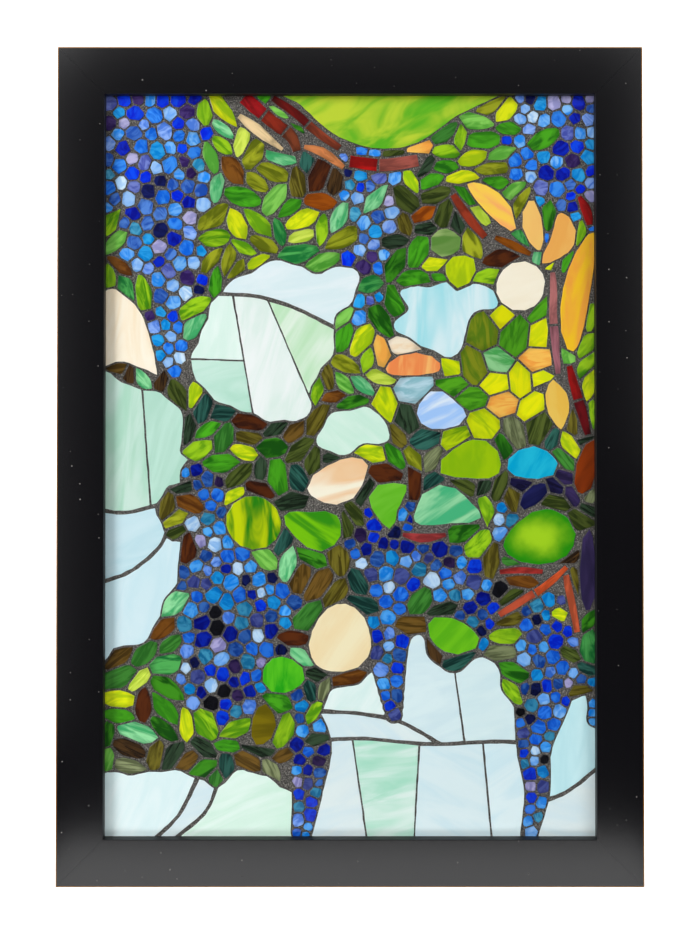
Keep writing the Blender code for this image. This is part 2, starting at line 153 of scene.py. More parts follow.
# Vines: their course as (u, v, width), where they are cut as shares of their length, and their colours
VINES = (
    (((0.139, 0.7485, 0.014), (0.150, 0.739, 0.014), (0.168, 0.724, 0.013), (0.188, 0.708, 0.013),
      (0.194, 0.692, 0.008)), (0.34, 0.68), ("a3161b", "8c2a18", "7a3b22")),
    (((0.168, 0.748, 0.006), (0.192, 0.732, 0.009), (0.216, 0.711, 0.009), (0.238, 0.696, 0.007)),
     (0.52,), ("6e130f", "8f3f28")),
    (((0.246, 0.683, 0.012), (0.282, 0.679, 0.013), (0.318, 0.684, 0.012)), (0.42,), ("b01512", "a8584c")),
    (((0.134, 0.730, 0.005), (0.152, 0.716, 0.011), (0.180, 0.694, 0.004)), (), ("f6d8a4",)),
    (((0.200, 0.698, 0.004), (0.220, 0.692, 0.010), (0.242, 0.676, 0.005)), (), ("dd8a52",)),
    (((0.352, 0.650, 0.006), (0.366, 0.628, 0.010), (0.386, 0.605, 0.007)), (), ("9c3a22",)),
    (((0.394, 0.606, 0.005), (0.412, 0.598, 0.009), (0.432, 0.588, 0.005)), (), ("8a4a0e",)),
    (((0.4535, 0.571, 0.005), (0.4545, 0.552, 0.008), (0.4540, 0.528, 0.008), (0.456, 0.500, 0.009),
      (0.459, 0.466, 0.005)), (0.52,), ("b87270", "a96a74")),
    (((0.470, 0.476, 0.006), (0.476, 0.452, 0.010), (0.484, 0.424, 0.010), (0.489, 0.404, 0.006)),
     (0.5,), ("8e1210", "6a1016")),
    (((0.398, 0.222, 0.006), (0.420, 0.236, 0.008), (0.446, 0.252, 0.008), (0.468, 0.272, 0.005)),
     (0.5,), ("bf5236", "d0552a")),
    (((0.466, 0.264, 0.007), (0.472, 0.236, 0.008), (0.478, 0.204, 0.006)), (), ("d2603c",)),
    (((0.398, 0.266, 0.005), (0.420, 0.268, 0.007), (0.444, 0.266, 0.005)), (), ("a8332e",)),
    (((0.300, 0.304, 0.004), (0.322, 0.300, 0.009), (0.346, 0.304, 0.004)), (), ("a83c3c",)),
    (((0.480, 0.648, 0.004), (0.488, 0.633, 0.011), (0.492, 0.617, 0.006)), (), ("a81414",)),
)

# Where each kind of foliage grows: the nearest of these places (u, v) gives a small piece its kind. Grout
# alone fills the bare ones.
FOLIAGE = (
    (0.140, 0.700, "fresh"), (0.190, 0.680, "fresh"), (0.150, 0.640, "fresh"), (0.205, 0.640, "fresh"),
    (0.222, 0.606, "fresh"), (0.120, 0.590, "fresh"), (0.100, 0.548, "fresh"), (0.196, 0.600, "fresh"),
    (0.205, 0.675, "dusk"), (0.246, 0.560, "fresh"), (0.228, 0.512, "fresh"), (0.246, 0.470, "fresh"),
    (0.318, 0.664, "mixed"), (0.350, 0.680, "mixed"), (0.386, 0.700, "fresh"), (0.400, 0.735, "fresh"),
    (0.376, 0.662, "fresh"), (0.320, 0.630, "dusk"), (0.300, 0.596, "mixed"), (0.330, 0.572, "fresh"),
    (0.396, 0.574, "fresh"), (0.300, 0.560, "fresh"), (0.290, 0.530, "fresh"), (0.410, 0.640, "fresh"),
    (0.410, 0.520, "quilt"), (0.440, 0.490, "quilt"), (0.380, 0.500, "quilt"), (0.350, 0.460, "quilt"),
    (0.400, 0.450, "quilt"), (0.430, 0.440, "quilt"), (0.300, 0.440, "quilt"), (0.280, 0.480, "mixed"),
    (0.370, 0.420, "quilt"), (0.470, 0.430, "mixed"), (0.480, 0.400, "dusk"), (0.400, 0.400, "dusk"),
    (0.060, 0.454, "dusk"), (0.090, 0.430, "dusk"), (0.100, 0.396, "fresh"), (0.130, 0.410, "dusk"),
    (0.170, 0.404, "dusk"), (0.200, 0.390, "dusk"), (0.150, 0.372, "mixed"), (0.190, 0.350, "dusk"),
    (0.220, 0.440, "mixed"), (0.020, 0.450, "mixed"), (0.285, 0.380, "dusk"), (0.320, 0.372, "dusk"),
    (0.300, 0.350, "dusk"), (0.352, 0.352, "dusk"), (0.252, 0.330, "dusk"), (0.260, 0.290, "mixed"),
    (0.400, 0.340, "dusk"), (0.070, 0.330, "dusk"), (0.076, 0.290, "mixed"), (0.066, 0.250, "fresh"),
    (0.040, 0.200, "mixed"), (0.020, 0.170, "dusk"), (0.030, 0.130, "fresh"), (0.020, 0.090, "mixed"),
    (0.060, 0.100, "fresh"), (0.090, 0.090, "dusk"), (0.130, 0.090, "mixed"), (0.150, 0.070, "dusk"),
    (0.200, 0.180, "fresh"), (0.214, 0.150, "dusk"), (0.216, 0.230, "dusk"), (0.224, 0.270, "dusk"),
    (0.190, 0.270, "mixed"), (0.340, 0.230, "dusk"), (0.326, 0.200, "dusk"), (0.330, 0.270, "dusk"),
    (0.392, 0.190, "mixed"), (0.400, 0.176, "mixed"), (0.404, 0.250, "mixed"), (0.420, 0.330, "night"),
    (0.446, 0.250, "mixed"), (0.470, 0.220, "fresh"), (0.484, 0.180, "dusk"), (0.478, 0.150, "dusk"),
    (0.488, 0.318, "dusk"), (0.470, 0.338, "night"), (0.440, 0.272, "mixed"), (0.488, 0.470, "fresh"),
    (0.480, 0.560, "fresh"), (0.486, 0.640, "grape"), (0.120, 0.050, "dusk"), (0.240, 0.150, "dusk"),
    (0.176, 0.098, "dusk"), (0.205, 0.066, "bare"), (0.201, 0.020, "bare"), (0.289, 0.165, "bare"),
    (0.292, 0.122, "bare"), (0.441, 0.110, "bare"), (0.436, 0.066, "bare"), (0.430, 0.016, "bare"),
    (0.064, 0.470, "bare"),
)

# Each kind's spacing, length against width, how far the ends come to a point, how large the uncut blank is
# against its ground, and the share of each palette. Bunches are deeper in colour below a height, and a few
# leaves lie among the upper grapes.
KINDS = {
    "grape": (GRAPE_SPACING, 1.0, 0.0, 1.00, (("grape", 1.0),)),
    "deep": (GRAPE_SPACING, 1.0, 0.0, 1.00, (("deep", 1.0),)),
    "fresh": (0.0262, 1.95, 1.00, 0.97, (("green", 0.93), ("brown", 0.04), ("petal", 0.03))),
    "mixed": (0.0258, 1.85, 0.95, 1.00,
              (("green", 0.48), ("olive", 0.40), ("brown", 0.08), ("petal", 0.04))),
    "dusk": (0.0258, 1.70, 0.85, 1.05, (("olive", 0.76), ("green", 0.18), ("brown", 0.06))),
    "quilt": (0.0330, 1.25, 0.05, 1.22, (("lime", 0.62), ("water", 0.14), ("olive", 0.20), ("petal", 0.04))),
    "night": (0.0240, 1.60, 0.20, 1.10, (("plum", 0.70), ("olive", 0.30))),
}
ROUND = ("grape", "deep")
DEEP_BELOW = 0.45
LEAVES_IN_BUNCH = 0.030

# Glass colours: (weight, sRGB of the sheet, sRGB of what streaks it)
PALETTES = {
    "grape": (
        (3.2, "0c60d8", "3c92f2"), (3.2, "2488ec", "84c2f8"), (2.4, "0020d6", "084aec"),
        (1.2, "020c8c", "0828c0"), (1.6, "1c4aa8", "5486d4"), (1.8, "4c7cdc", "98bcf8"),
        (1.6, "9cc6f4", "5c9cec"), (2.0, "0080d2", "34acec"), (1.2, "4450a8", "7888d0"),
        (0.8, "2a1852", "4c3878"), (1.0, "1c7cac", "5cb0d0"), (0.5, "0a0e42", "142064"),
        (0.7, "9090c4", "c0bce4"), (0.7, "d2e8fa", "90c0ee"),
    ),
    "deep": (
        (3.0, "084cc0", "2c7ae0"), (3.0, "1078d8", "58acf0"), (2.6, "001cb4", "063ed8"),
        (2.2, "020a6c", "06209c"), (2.2, "0e3480", "3464ac"), (1.4, "3468c8", "78a4ec"),
        (1.0, "80b4ec", "408ae0"), (1.8, "0068b4", "1c94d8"), (1.2, "283070", "4c5898"),
        (0.9, "180f36", "342450"), (1.2, "12608c", "3c90b4"), (1.0, "050a32", "0e1850"),
        (0.5, "7876ac", "a8a4d0"), (0.6, "bcd8f0", "80b0e4"), (0.5, "06060a", "121218"),
    ),
    "green": (
        (2.6, "48a41c", "1c6210"), (2.6, "98c81c", "3f840e"), (2.2, "dce414", "8cb810"),
        (1.7, "84ca58", "3f9028"), (1.6, "144c0c", "44981e"), (1.0, "3fa464", "94dca0"),
        (1.2, "5c6610", "a4ac24"), (0.8, "a4c432", "dcec60"), (0.9, "186a30", "54b058"),
    ),
    "olive": (
        (1.8, "40390f", "746c24"), (1.8, "263210", "546228"), (1.4, "142014", "344a34"),
        (0.7, "42300f", "725622"), (1.0, "0e2c28", "306458"), (1.0, "525a3c", "8c966c"),
        (0.9, "26601f", "438a34"), (0.7, "261a0e", "50381c"),
    ),
    "brown": ((1.0, "4e2a0c", "80501a"), (0.4, "743408", "a4540e"), (0.6, "34180c", "5c2c10")),
    "lime": (
        (1.5, "e6e608", "c4d610"), (1.6, "ccda0a", "84b010"), (1.8, "b2cc0e", "2a760c"),
        (1.7, "52a01c", "1e6210"), (0.8, "469a4e", "94cc92"), (1.1, "7e881a", "426e12"),
    ),
    "water": (
        (1.4, "86b4ec", "bcd6f6"), (0.8, "3484d0", "74b4ec"), (0.8, "1c90c0", "56b8d8"),
        (0.6, "bcdce8", "82b8c4"), (0.4, "2464a8", "4288c8"),
    ),
    "petal": ((1.0, "f6c058", "f09c40"), (1.4, "f6e8d0", "f2d4a8"), (0.6, "ee9c44", "e07028"),
              (0.4, "a8447a", "843868"), (0.3, "cc4c38", "a83428")),
    "plum": ((1.0, "100e2c", "22204c"), (0.7, "1e1836", "3a2e5c"), (0.5, "09080f", "16141f")),
}

# Large pieces: colour of the sheet, what streaks it, the way its streaks run in degrees, and how strongly.
# Sky is mint opal on the left, paler in the fan and bluer below.
LARGE_GLASS = {
    "cream_disc": ("faf2dc", "f4e8cc", 20, 0.5),
    "cream_peach": ("f3ecd6", "eac090", 22, 1.0),
    "cream_beige": ("eee3bc", "e8cd98", 60, 0.6),
    "cream_corner": ("fbf2de", "f2dab0", 88, 0.7),
    "amber_top": ("fbcf50", "f8a868", -40, 1.0),
    "amber_spear": ("f3c46c", "f4b868", 96, 0.5),
    "amber_bow": ("f0bc66", "e8a04a", 70, 0.7),
    "amber_edge": ("fdca28", "f9a246", 84, 0.8),
    "amber_drop": ("f5cc5e", "f2b83c", 96, 0.5),
    "amber_bar": ("f5bc6e", "ee8a4e", 84, 1.0),
    "leaf_striped_top": ("5d8c3c", "9db872", 6, 1.0),
    "leaf_lime_top": ("c2d40a", "8cae10", 80, 0.8),
    "leaf_lime_round": ("bccc0a", "237a10", 92, 1.0),
    "leaf_green_wide": ("6fb80e", "1f7e12", -38, 0.9),
    "leaf_lime_wide": ("9cc40a", "7fb20c", 88, 0.8),
    "leaf_jade_wide": ("46b47c", "9cdca8", 34, 0.9),
    "leaf_green_kidney": ("5cb220", "7cc63c", 30, 0.6),
    "leaf_green_low": ("6cbc1a", "4aa014", 50, 0.7),
    "leaf_striped_low": ("52b81e", "1f9a14", 88, 1.0),
    "leaf_olive_low": ("7a6c0c", "5c5208", 4, 0.9),
    "leaf_shaded_right": ("a0d020", "248a0c", 0, 1.0),
    "blue_cyan": ("00a0cc", "20b8d8", 62, 0.9),
    "blue_pale": ("9cc2f2", "dce8f4", 30, 1.0),
    "rust_edge": ("8a360a", "5c2208", 60, 0.9),
    "plum_edge": ("2c2446", "453866", 84, 0.8),
    "plum_slope": ("10123c", "23265e", 40, 0.8),
    "hill": ("58b022", "c8d83a", 30, 0.85),
    "sky_middle": ("daf0f4", "9edfe8", 88, 1.0),
    "sky_left_1": ("b2e2ca", "d2efe2", 84, 1.0),
    "sky_left_2": ("c2e8d8", "acdac6", 70, 0.8),
    "sky_left_3": ("bcdfe8", "cfe9f0", 20, 0.9),
    "sky_left_4": ("d6edf3", "c6e6ee", 78, 0.8),
    "sky_fan_1": ("ecf8fb", "daf0f4", 8, 0.8),
    "sky_fan_2": ("d6efe4", "e8f6f0", 80, 0.8),
    "sky_fan_3": ("e4f4e4", "bee6be", 62, 1.0),
    "sky_fan_4": ("b4e2ce", "d0efe2", 12, 0.8),
    "sky_fan_5": ("f2f9f7", "daf0e6", 72, 0.8),
    "sky_low_1": ("d0e8ee", "def2f4", 12, 0.8),
    "sky_low_2": ("daf0f2", "cfe9ee", 20, 0.8),
    "sky_low_5": ("aed8de", "c2e4e8", 84, 0.9),
    "sky_low_6": ("e2f6ee", "a8e4ca", 14, 1.0),
    "sky_low_12": ("d6eae0", "c2e2d0", 24, 0.9),
}
# Any other pane of sky, by the start of its name, is one of these by lot and lies any way round
SKY_GLASS = {
    "sky_low": (("d6edee", "e6f4f4"), ("dceff2", "c9e6ee"), ("d4ece8", "e6f3f0"), ("e2f0f0", "d2e9f0")),
    "sky_small": (("c6ead8", "dcf2e6"),),
}
SKY_CONTRAST = 0.8
STRIP_CONTRAST = 0.8
STRIP_STREAK = 0.62
LARGE_FAMILIES = ("sky", "cream", "amber", "leaf", "hill", "blue", "rust", "plum")
SHADED_LEAF = "leaf_shaded_right"
RIM_SHADE = 0.26


# Tools for nodes, colours and meshes


def linear(code, alpha=1.0):
    """The linear colour of an sRGB hex code."""
    parts = [int(code[start:start + 2], 16) / 255 for start in (0, 2, 4)]
    return (*[part / 12.92 if part <= 0.04045 else ((part + 0.055) / 1.055) ** 2.4 for part in parts], alpha)


def add(tree, kind, inputs=None, **settings):
    """A new node with its settings. Each input takes a value, or the output that feeds it."""
    made = tree.nodes.new(kind)
    for name, value in settings.items():
        setattr(made, name, value)
    for key, value in (inputs or {}).items():
        if isinstance(value, bpy.types.NodeSocket):
            tree.links.new(value, made.inputs[key])
        else:
            made.inputs[key].default_value = value
    return made


def shader_of(name):
    """A new material with its tree and its Principled shader."""
    material = bpy.data.materials.new(name)
    material.use_nodes = True
    return material, material.node_tree, material.node_tree.nodes["Principled BSDF"]


def in_scene(name, data):
    """A new object in the scene, at the origin."""
    made = bpy.data.objects.new(name, data)
    bpy.context.scene.collection.objects.link(made)
    return made


def new_tree(name, **sockets):
    """A geometry tree with a geometry in and out, and further inputs, whose names are given by kind."""
    tree = bpy.data.node_groups.new(name, "GeometryNodeTree")
    tree.interface.new_socket("Geometry", in_out="INPUT", socket_type="NodeSocketGeometry")
    tree.interface.new_socket("Geometry", in_out="OUTPUT", socket_type="NodeSocketGeometry")
    for kind, names in sockets.items():
        for socket in names:
            tree.interface.new_socket(socket, in_out="INPUT", socket_type=f"NodeSocket{kind}")
    return tree


def grown_by(tree, mesh, name, values):
    """The plain mesh that the tree makes from this mesh, with the tree's inputs given by name."""
    seed = in_scene(name, mesh)
    modifier = seed.modifiers.new(tree.name, "NODES")
    modifier.node_group = tree
    for item in tree.interface.items_tree:
        if item.in_out == "INPUT" and item.name in values:
            modifier[item.identifier] = values[item.name]
    bpy.context.view_layer.update()
    result = bpy.data.meshes.new_from_object(seed.evaluated_get(bpy.context.evaluated_depsgraph_get()))
    seed.modifiers.clear()
    bpy.data.objects.remove(seed)
    result.name = name
    return result


def add_piece(name, mesh):
    """A finished piece of the object, fixed to its one body."""
    piece = in_scene(name, mesh)
    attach(piece, "root")
    return piece


# Shapes in the picture's u and v


def smooth_path(points, steps=8):
    """A curve that runs through all the points (Catmull-Rom), each a place with its size."""
    places = np.array(points, float)
    places = np.vstack([2 * places[0] - places[1], places, 2 * places[-1] - places[-2]])
    share = np.linspace(0, 1, steps, endpoint=False)[:, None]
    runs = []
    for before, start, end, after in zip(places, places[1:], places[2:], places[3:]):
        runs.append(
            0.5 * (2 * start + (end - before) * share
                   + (2 * before - 5 * start + 4 * end - after) * share**2
                   + (3 * (start - end) + after - before) * share**3)
        )
    return np.vstack([*runs, places[-2:-1]])


def inside(outline, u, v):
    """True where the place (u, v) lies inside the closed outline."""
    crossed = np.zeros(np.shape(u), bool)
    for (u0, v0), (u1, v1) in zip(outline, np.roll(outline, -1, axis=0)):
        if v0 != v1:
            crossed ^= ((v0 > v) != (v1 > v)) & (u < u0 + (v - v0) * (u1 - u0) / (v1 - v0))
    return crossed


def dotted(outline, step):
    """Places along a closed outline, no more than a step apart."""
    places = []
    for start, end in zip(outline, np.roll(outline, -1, axis=0)):
        count = max(1, math.ceil(np.hypot(*(end - start)) / step))
        places.append(start + (end - start) * (np.arange(count) / count)[:, None])
    return np.vstack(places)


def hand_cut(outline, chance):
    """The outline as a hand snaps it from the sheet: a little full, and never quite straight."""
    places = dotted(outline, CUT_STEP)
    along = np.roll(places, -1, axis=0) - np.roll(places, 1, axis=0)
    outward = np.column_stack([along[:, 1], -along[:, 0]]) / np.hypot(*along.T)[:, None]
    waver = np.clip(chance.normal(0.0, CUT_WAVER, len(places)), -2 * CUT_WAVER, 2 * CUT_WAVER)
    return places + outward * (CUT_GROWTH + waver)[:, None]


def area(outline):
    """The area inside the outline, above 0 where it runs anticlockwise."""
    u, v = outline.T
    return (u * np.roll(v, -1) - v * np.roll(u, -1)).sum() / 2


def tidied(outline):
    """The outline with each short edge drawn together to its middle, so that the arris fits all round."""
    while len(outline) > 3:
        after = np.roll(outline, -1, axis=0)
        lengths = np.hypot(*(after - outline).T)
        shortest = int(lengths.argmin())
        if lengths[shortest] >= SHORTEST_CUT:
            break
        outline = outline.copy()
        outline[(shortest + 1) % len(outline)] = (outline[shortest] + after[shortest]) / 2
        outline = np.delete(outline, shortest, axis=0)
    return outline


def compactness(outline):
    """1 for a circle, and less for a slimmer outline."""
    return 4 * math.pi * area(outline) / np.hypot(*(np.roll(outline, -1, axis=0) - outline).T).sum() ** 2


def clipped(outline, normal, limit):
    """The part of a convex outline where place . normal stays under the limit."""
    depth = outline @ normal - limit
    kept = []
    for start, end, here, there in zip(outline, np.roll(outline, -1, axis=0), depth, np.roll(depth, -1)):
        if here <= 0:
            kept.append(start)
        if (here < 0 < there) or (there < 0 < here):
            kept.append(start + (end - start) * here / (here - there))
    return np.array(kept).reshape(-1, 2)


def cad_outline(name):
    """The outline of a large piece, walked round the front of its CAD node."""
    solid = bmesh.new()
    solid.from_mesh(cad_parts[name].data)
    bmesh.ops.remove_doubles(solid, verts=solid.verts, dist=1e-6)
    front = {face for face in solid.faces if face.normal.y < -0.9}
    linked = {}
    for edge in solid.edges:
        if len(front & set(edge.link_faces)) == 1:
            start, end = edge.verts
            linked.setdefault(start, []).append(end)
            linked.setdefault(end, []).append(start)
    place = next(iter(linked))
    walked = []
    while place is not None:
        walked.append((place.co.x - SIGHT_LEFT, place.co.z - SIGHT_BOTTOM))
        ends = linked.pop(place)
        place = next((end for end in ends if end in linked), None)
    solid.free()
    outline = tidied(np.array(walked))
    return outline if area(outline) > 0 else outline[::-1]


# Laying the small pieces


class Glass:
    """One piece of glass: its outline, the colour of its sheet and streaks, and how they run."""

    def __init__(self, outline, colours, turn, contrast):
        self.outline = outline
        self.colours = colours
        self.turn = turn
        self.contrast = contrast


def vine_strips(chance):
    """The vines, cut into strips across their course."""
    strips = []
    for course, cuts, colours in VINES:
        path = smooth_path(course)
        run = np.hypot(*np.diff(path[:, :2], axis=0).T)
        along = np.concatenate([[0], np.cumsum(run)])
        ends = [0, *[cut * along[-1] for cut in cuts], along[-1]]
        for start, end, colour in zip(ends, ends[1:], colours):
            stops = np.linspace(start + STRIP_JOINT / 2, end - STRIP_JOINT / 2, STRIP_STOPS)
            u, v, width = (np.interp(stops, along, column) for column in path.T)
            run_u, run_v = np.gradient(u), np.gradient(v)
            length = np.hypot(run_u, run_v)
            side = np.stack([-run_v / length, run_u / length], axis=1) * width[:, None] / 2
            middle = np.stack([u, v], axis=1)
            outline = np.vstack([middle - side, (middle + side)[::-1]])
            outline += chance.normal(0, STRIP_WAVER, outline.shape)
            turn = math.atan2(v[-1] - v[0], u[-1] - u[0])
            strips.append(Glass(outline, (colour, darker(colour, STRIP_STREAK)), turn, STRIP_CONTRAST))
    return strips


def darker(code, share):
    """The sRGB hex code with each part cut down to this share."""
    return "".join(f"{int(int(code[start:start + 2], 16) * share):02x}" for start in (0, 2, 4))


class Layout:
    """The field's grid: where small pieces may lie, and of what kind."""

    def __init__(self, obstacles):
        self.low = -FIELD_MARGIN
        self.high = (SIGHT_W + FIELD_MARGIN, SIGHT_H + FIELD_MARGIN)
        self.u, self.v = np.meshgrid(*[np.arange(self.low, end, LAYOUT_STEP) for end in self.high])
        self.free = np.ones(self.u.shape, bool)
        for outline in obstacles:
            rows, columns = self.window(outline.min(0), outline.max(0))
            self.free[rows, columns] &= ~inside(outline, self.u[rows, columns], self.v[rows, columns])
        nearest = np.full(self.u.shape, np.inf)
        self.kind = np.zeros(self.u.shape, int)
        names = list(KINDS)
        for u, v, kind in FOLIAGE:
            distance = np.hypot(self.u - u, self.v - v)
            closer = distance < nearest
            nearest[closer] = distance[closer]
            self.kind[closer] = names.index(kind) if kind in KINDS else len(names)
        for bunch in BUNCHES:
            for u, v, radius in smooth_path(bunch):
                kind = "deep" if v < DEEP_BELOW else "grape"
                self.kind[np.hypot(self.u - u, self.v - v) < radius] = names.index(kind)
        self.free &= self.kind < len(names)

    def holds(self, place):
        """True where a piece may have its middle."""
        column, row = np.rint((place - self.low) / LAYOUT_STEP).astype(int)
        return self.free[min(row, self.free.shape[0] - 1), min(column, self.free.shape[1] - 1)]

    def window(self, low, high):
        """The rows and columns of the grid between two corners."""
        (u0, v0), (u1, v1) = (np.array(corner) - self.low for corner in (low, high))
        rows = slice(max(0, int(v0 / LAYOUT_STEP)), max(0, int(v1 / LAYOUT_STEP) + 2))
        columns = slice(max(0, int(u0 / LAYOUT_STEP)), max(0, int(u1 / LAYOUT_STEP) + 2))
        return rows, columns


class Seed:
    """A small piece before it is cut: its place, kind, half length and half width, and the way it lies."""

    def __init__(self, place, kind, half_length, half_width, turn):
        self.place = place
        self.kind = kind
        self.half = np.array((half_length, half_width))
        self.turn = turn
        self.room = 0.0

    def axes(self):
        """Its own way along and way across."""
        along = np.array((math.cos(self.turn), math.sin(self.turn)))
        return np.stack([along, (-along[1], along[0])])

    def metric(self):
        """The matrix that measures an offset in the piece's own half length and half width."""
        axes = self.axes()
        return axes.T @ np.diag(1 / self.half**2) @ axes

    def spread(self):
        """The inverse of the metric: how far the piece reaches each way."""
        axes = self.axes()
        return axes.T @ np.diag(self.half**2) @ axes


def scattered(layout, chance):
    """Seeds thrown at random over the free cells, none nearer another than its kind allows."""
    names = list(KINDS)
    open_cells = layout.free.copy()
    rows, columns = np.nonzero(layout.free)
    seeds = []
    for number in chance.permutation(len(rows)):
        row, column = rows[number], columns[number]
        if not open_cells[row, column]:
            continue
        name = names[layout.kind[row, column]]
        if name == "grape" and chance.random() < LEAVES_IN_BUNCH:
            name = "fresh"
        spacing, slender = KINDS[name][:2]
        spacing *= chance.uniform(*SPACING_RANGE)
        place = np.array((layout.u[row, column], layout.v[row, column]))
        half_width = spacing / 2 / math.sqrt(slender * chance.uniform(*SLENDER_RANGE))
        half_length = (spacing / 2) ** 2 / half_width
        turn = math.pi * chance.random()
        seeds.append(Seed(place, name, half_length, half_width, turn))
        reach = NEAREST_START * spacing
        rows_near, columns_near = layout.window(place - reach, place + reach)
        near = np.hypot(layout.u[rows_near, columns_near] - place[0],
                        layout.v[rows_near, columns_near] - place[1]) < reach
        open_cells[rows_near, columns_near] &= ~near
    return seeds


def relax(layout, seeds):
    """Moves each seed to the middle of its own ground, and turns a leaf to lie along it."""
    for _ in range(RELAXING_ROUNDS):
        nearest = np.full(layout.u.shape, np.inf)
        owner = np.full(layout.u.shape, -1)
        for number, seed in enumerate(seeds):
            reach = REACH * seed.half[0]
            rows, columns = layout.window(seed.place - reach, seed.place + reach)
            offset = np.stack([layout.u[rows, columns] - seed.place[0],
                               layout.v[rows, columns] - seed.place[1]])
            along, across = np.tensordot(seed.axes(), offset, 1)
            distance = (along / seed.half[0]) ** 2 + (across / seed.half[1]) ** 2
            closer = distance < nearest[rows, columns]
            nearest[rows, columns][closer] = distance[closer]
            owner[rows, columns][closer] = number
        owner[~layout.free] = -1
        held = owner >= 0
        count = np.bincount(owner[held], minlength=len(seeds))
        sums = [np.bincount(owner[held], weights, len(seeds)) for weights in (
            layout.u[held], layout.v[held], layout.u[held] ** 2, layout.v[held] ** 2,
            layout.u[held] * layout.v[held])]
        for number, seed in enumerate(seeds):
            seed.room = count[number] * LAYOUT_STEP**2
            if not count[number]:
                continue
            u, v, uu, vv, uv = (values[number] / count[number] for values in sums)
            seed.place = np.array((u, v))
            if seed.kind not in ROUND:
                seed.turn = 0.5 * math.atan2(2 * (uv - u * v), (uu - u * u) - (vv - v * v))
    return [seed for seed in seeds if seed.room > SMALLEST_TILE and layout.holds(seed.place)]


def blank(seed, chance):
    """The uncut outline of a piece: a nipped round for a grape, a pointed almond for a leaf."""
    point, size = KINDS[seed.kind][2:4]
    point *= chance.uniform(*POINT_RANGE)
    nipped = seed.kind in ROUND
    sides = int(chance.integers(5, 9)) if nipped else 16
    start = chance.uniform(0, 2 * math.pi) if nipped else 0.0
    swell = math.sqrt(max(seed.room, SMALLEST_TILE) / (math.pi * seed.half[0] * seed.half[1]))
    swell *= size * chance.uniform(*SIZE_RANGE)
    skew = chance.uniform(*SKEW_RANGE) * point
    outline = []
    for side in range(sides):
        angle = start + 2 * math.pi * (side + chance.uniform(-NIP_SWING, NIP_SWING) * nipped) / sides
        nip = swell * (1 + chance.normal(0, NIP_WAVER))
        across = math.sin(angle) * (1 - point + point * abs(math.sin(angle)))
        along = math.cos(angle) * (1 + 0.15 * point) + skew * math.sin(angle) ** 2
        outline.append((along * seed.half[0] * nip, across * seed.half[1] * nip))
    return seed.place + np.array(outline) @ seed.axes()


def cut(seed, others, dots, layout, chance):
    """The piece's outline, cut back by straight bites from its neighbours and from the large pieces."""
    outline = blank(seed, chance)
    joint = GRAPE_JOINT if seed.kind in ROUND else LEAF_JOINT
    for normal, limit in (((-1, 0), -layout.low), ((0, -1), -layout.low),
                          ((1, 0), layout.high[0]), ((0, 1), layout.high[1])):
        outline = clipped(outline, np.array(normal, float), limit)
    metric, spread = seed.metric(), seed.spread()
    for other in others:
        gap = other.place - seed.place
        normal = (metric + other.metric()) @ gap
        normal /= np.hypot(*normal)
        own, theirs = math.sqrt(normal @ spread @ normal), math.sqrt(normal @ other.spread() @ normal)
        limit = seed.place @ normal + gap @ normal * own / (own + theirs) - joint / 2
        if len(outline):
            outline = clipped(outline, normal, limit)
    reach = np.hypot(*(outline - seed.place).T).max() + LARGE_JOINT if len(outline) else 0
    near = dots[np.hypot(*(dots - seed.place).T) < reach]
    while len(near) and len(outline) > 2:
        offset = near - seed.place
        distance = np.einsum("ij,jk,ik->i", offset, metric, offset)
        closest = int(distance.argmin())
        normal = metric @ offset[closest]
        normal /= np.hypot(*normal)
        limit = near[closest] @ normal - LARGE_JOINT
        outline = clipped(outline, normal, limit)
        near = near[near @ normal < limit + LARGE_JOINT - 1e-6]
    return outline


def picked(palette, chance):
    """The colours of one of the palette's glasses, by its weight."""
    entries = PALETTES[palette]
    weights = np.array([entry[0] for entry in entries])
    return entries[chance.choice(len(entries), p=weights / weights.sum())][1:]


def lay_small_pieces(obstacles, chance):
    """The small pieces of glass, by the material that they are cut from."""
    layout = Layout(obstacles)
    seeds = relax(layout, scattered(layout, chance))
    dots = np.vstack([dotted(outline, OBSTACLE_STEP) for outline in obstacles])
    places = np.array([seed.place for seed in seeds])
    laid = {"grape": [], "leaf": [], "olive": []}
    for seed in seeds:
        distance = np.hypot(*(places - seed.place).T)
        others = [seeds[number] for number in np.argsort(distance)[1:NEIGHBOURS + 1]]
        outline = tidied(cut(seed, others, dots, layout, chance))
        if len(outline) < 3 or area(outline) < SMALLEST_TILE or compactness(outline) < SLIMMEST_TILE:
            continue
        names, shares = zip(*KINDS[seed.kind][4])
        palette = names[chance.choice(len(names), p=shares)]
        colours = picked(palette, chance)
        family = "grape" if palette in ROUND else palette if palette in laid else "leaf"
        turn = chance.uniform(0, math.pi) if family == "grape" else seed.turn + chance.normal(0, STREAK_TURN)
        laid[family].append(Glass(outline, colours, turn, chance.uniform(*CONTRAST_RANGE)))
    return laid


# Solids


def oval(outline):
    """The oval that a piece nearly fills, in the object's axes: its middle, then its long and short axes,
    each divided by its half length, so that the pair of dot products has a length of 1 on the oval."""
    middle = outline.mean(axis=0)
    spokes = outline - middle
    size, axes = np.linalg.eigh(spokes.T @ spokes / len(outline))
    short, long = (axes[:, number] / math.sqrt(2 * size[number]) for number in (0, 1))
    return ((middle[0] + SIGHT_LEFT, 0.0, middle[1] + SIGHT_BOTTOM),
            (long[0], 0.0, long[1]), (short[0], 0.0, short[1]))


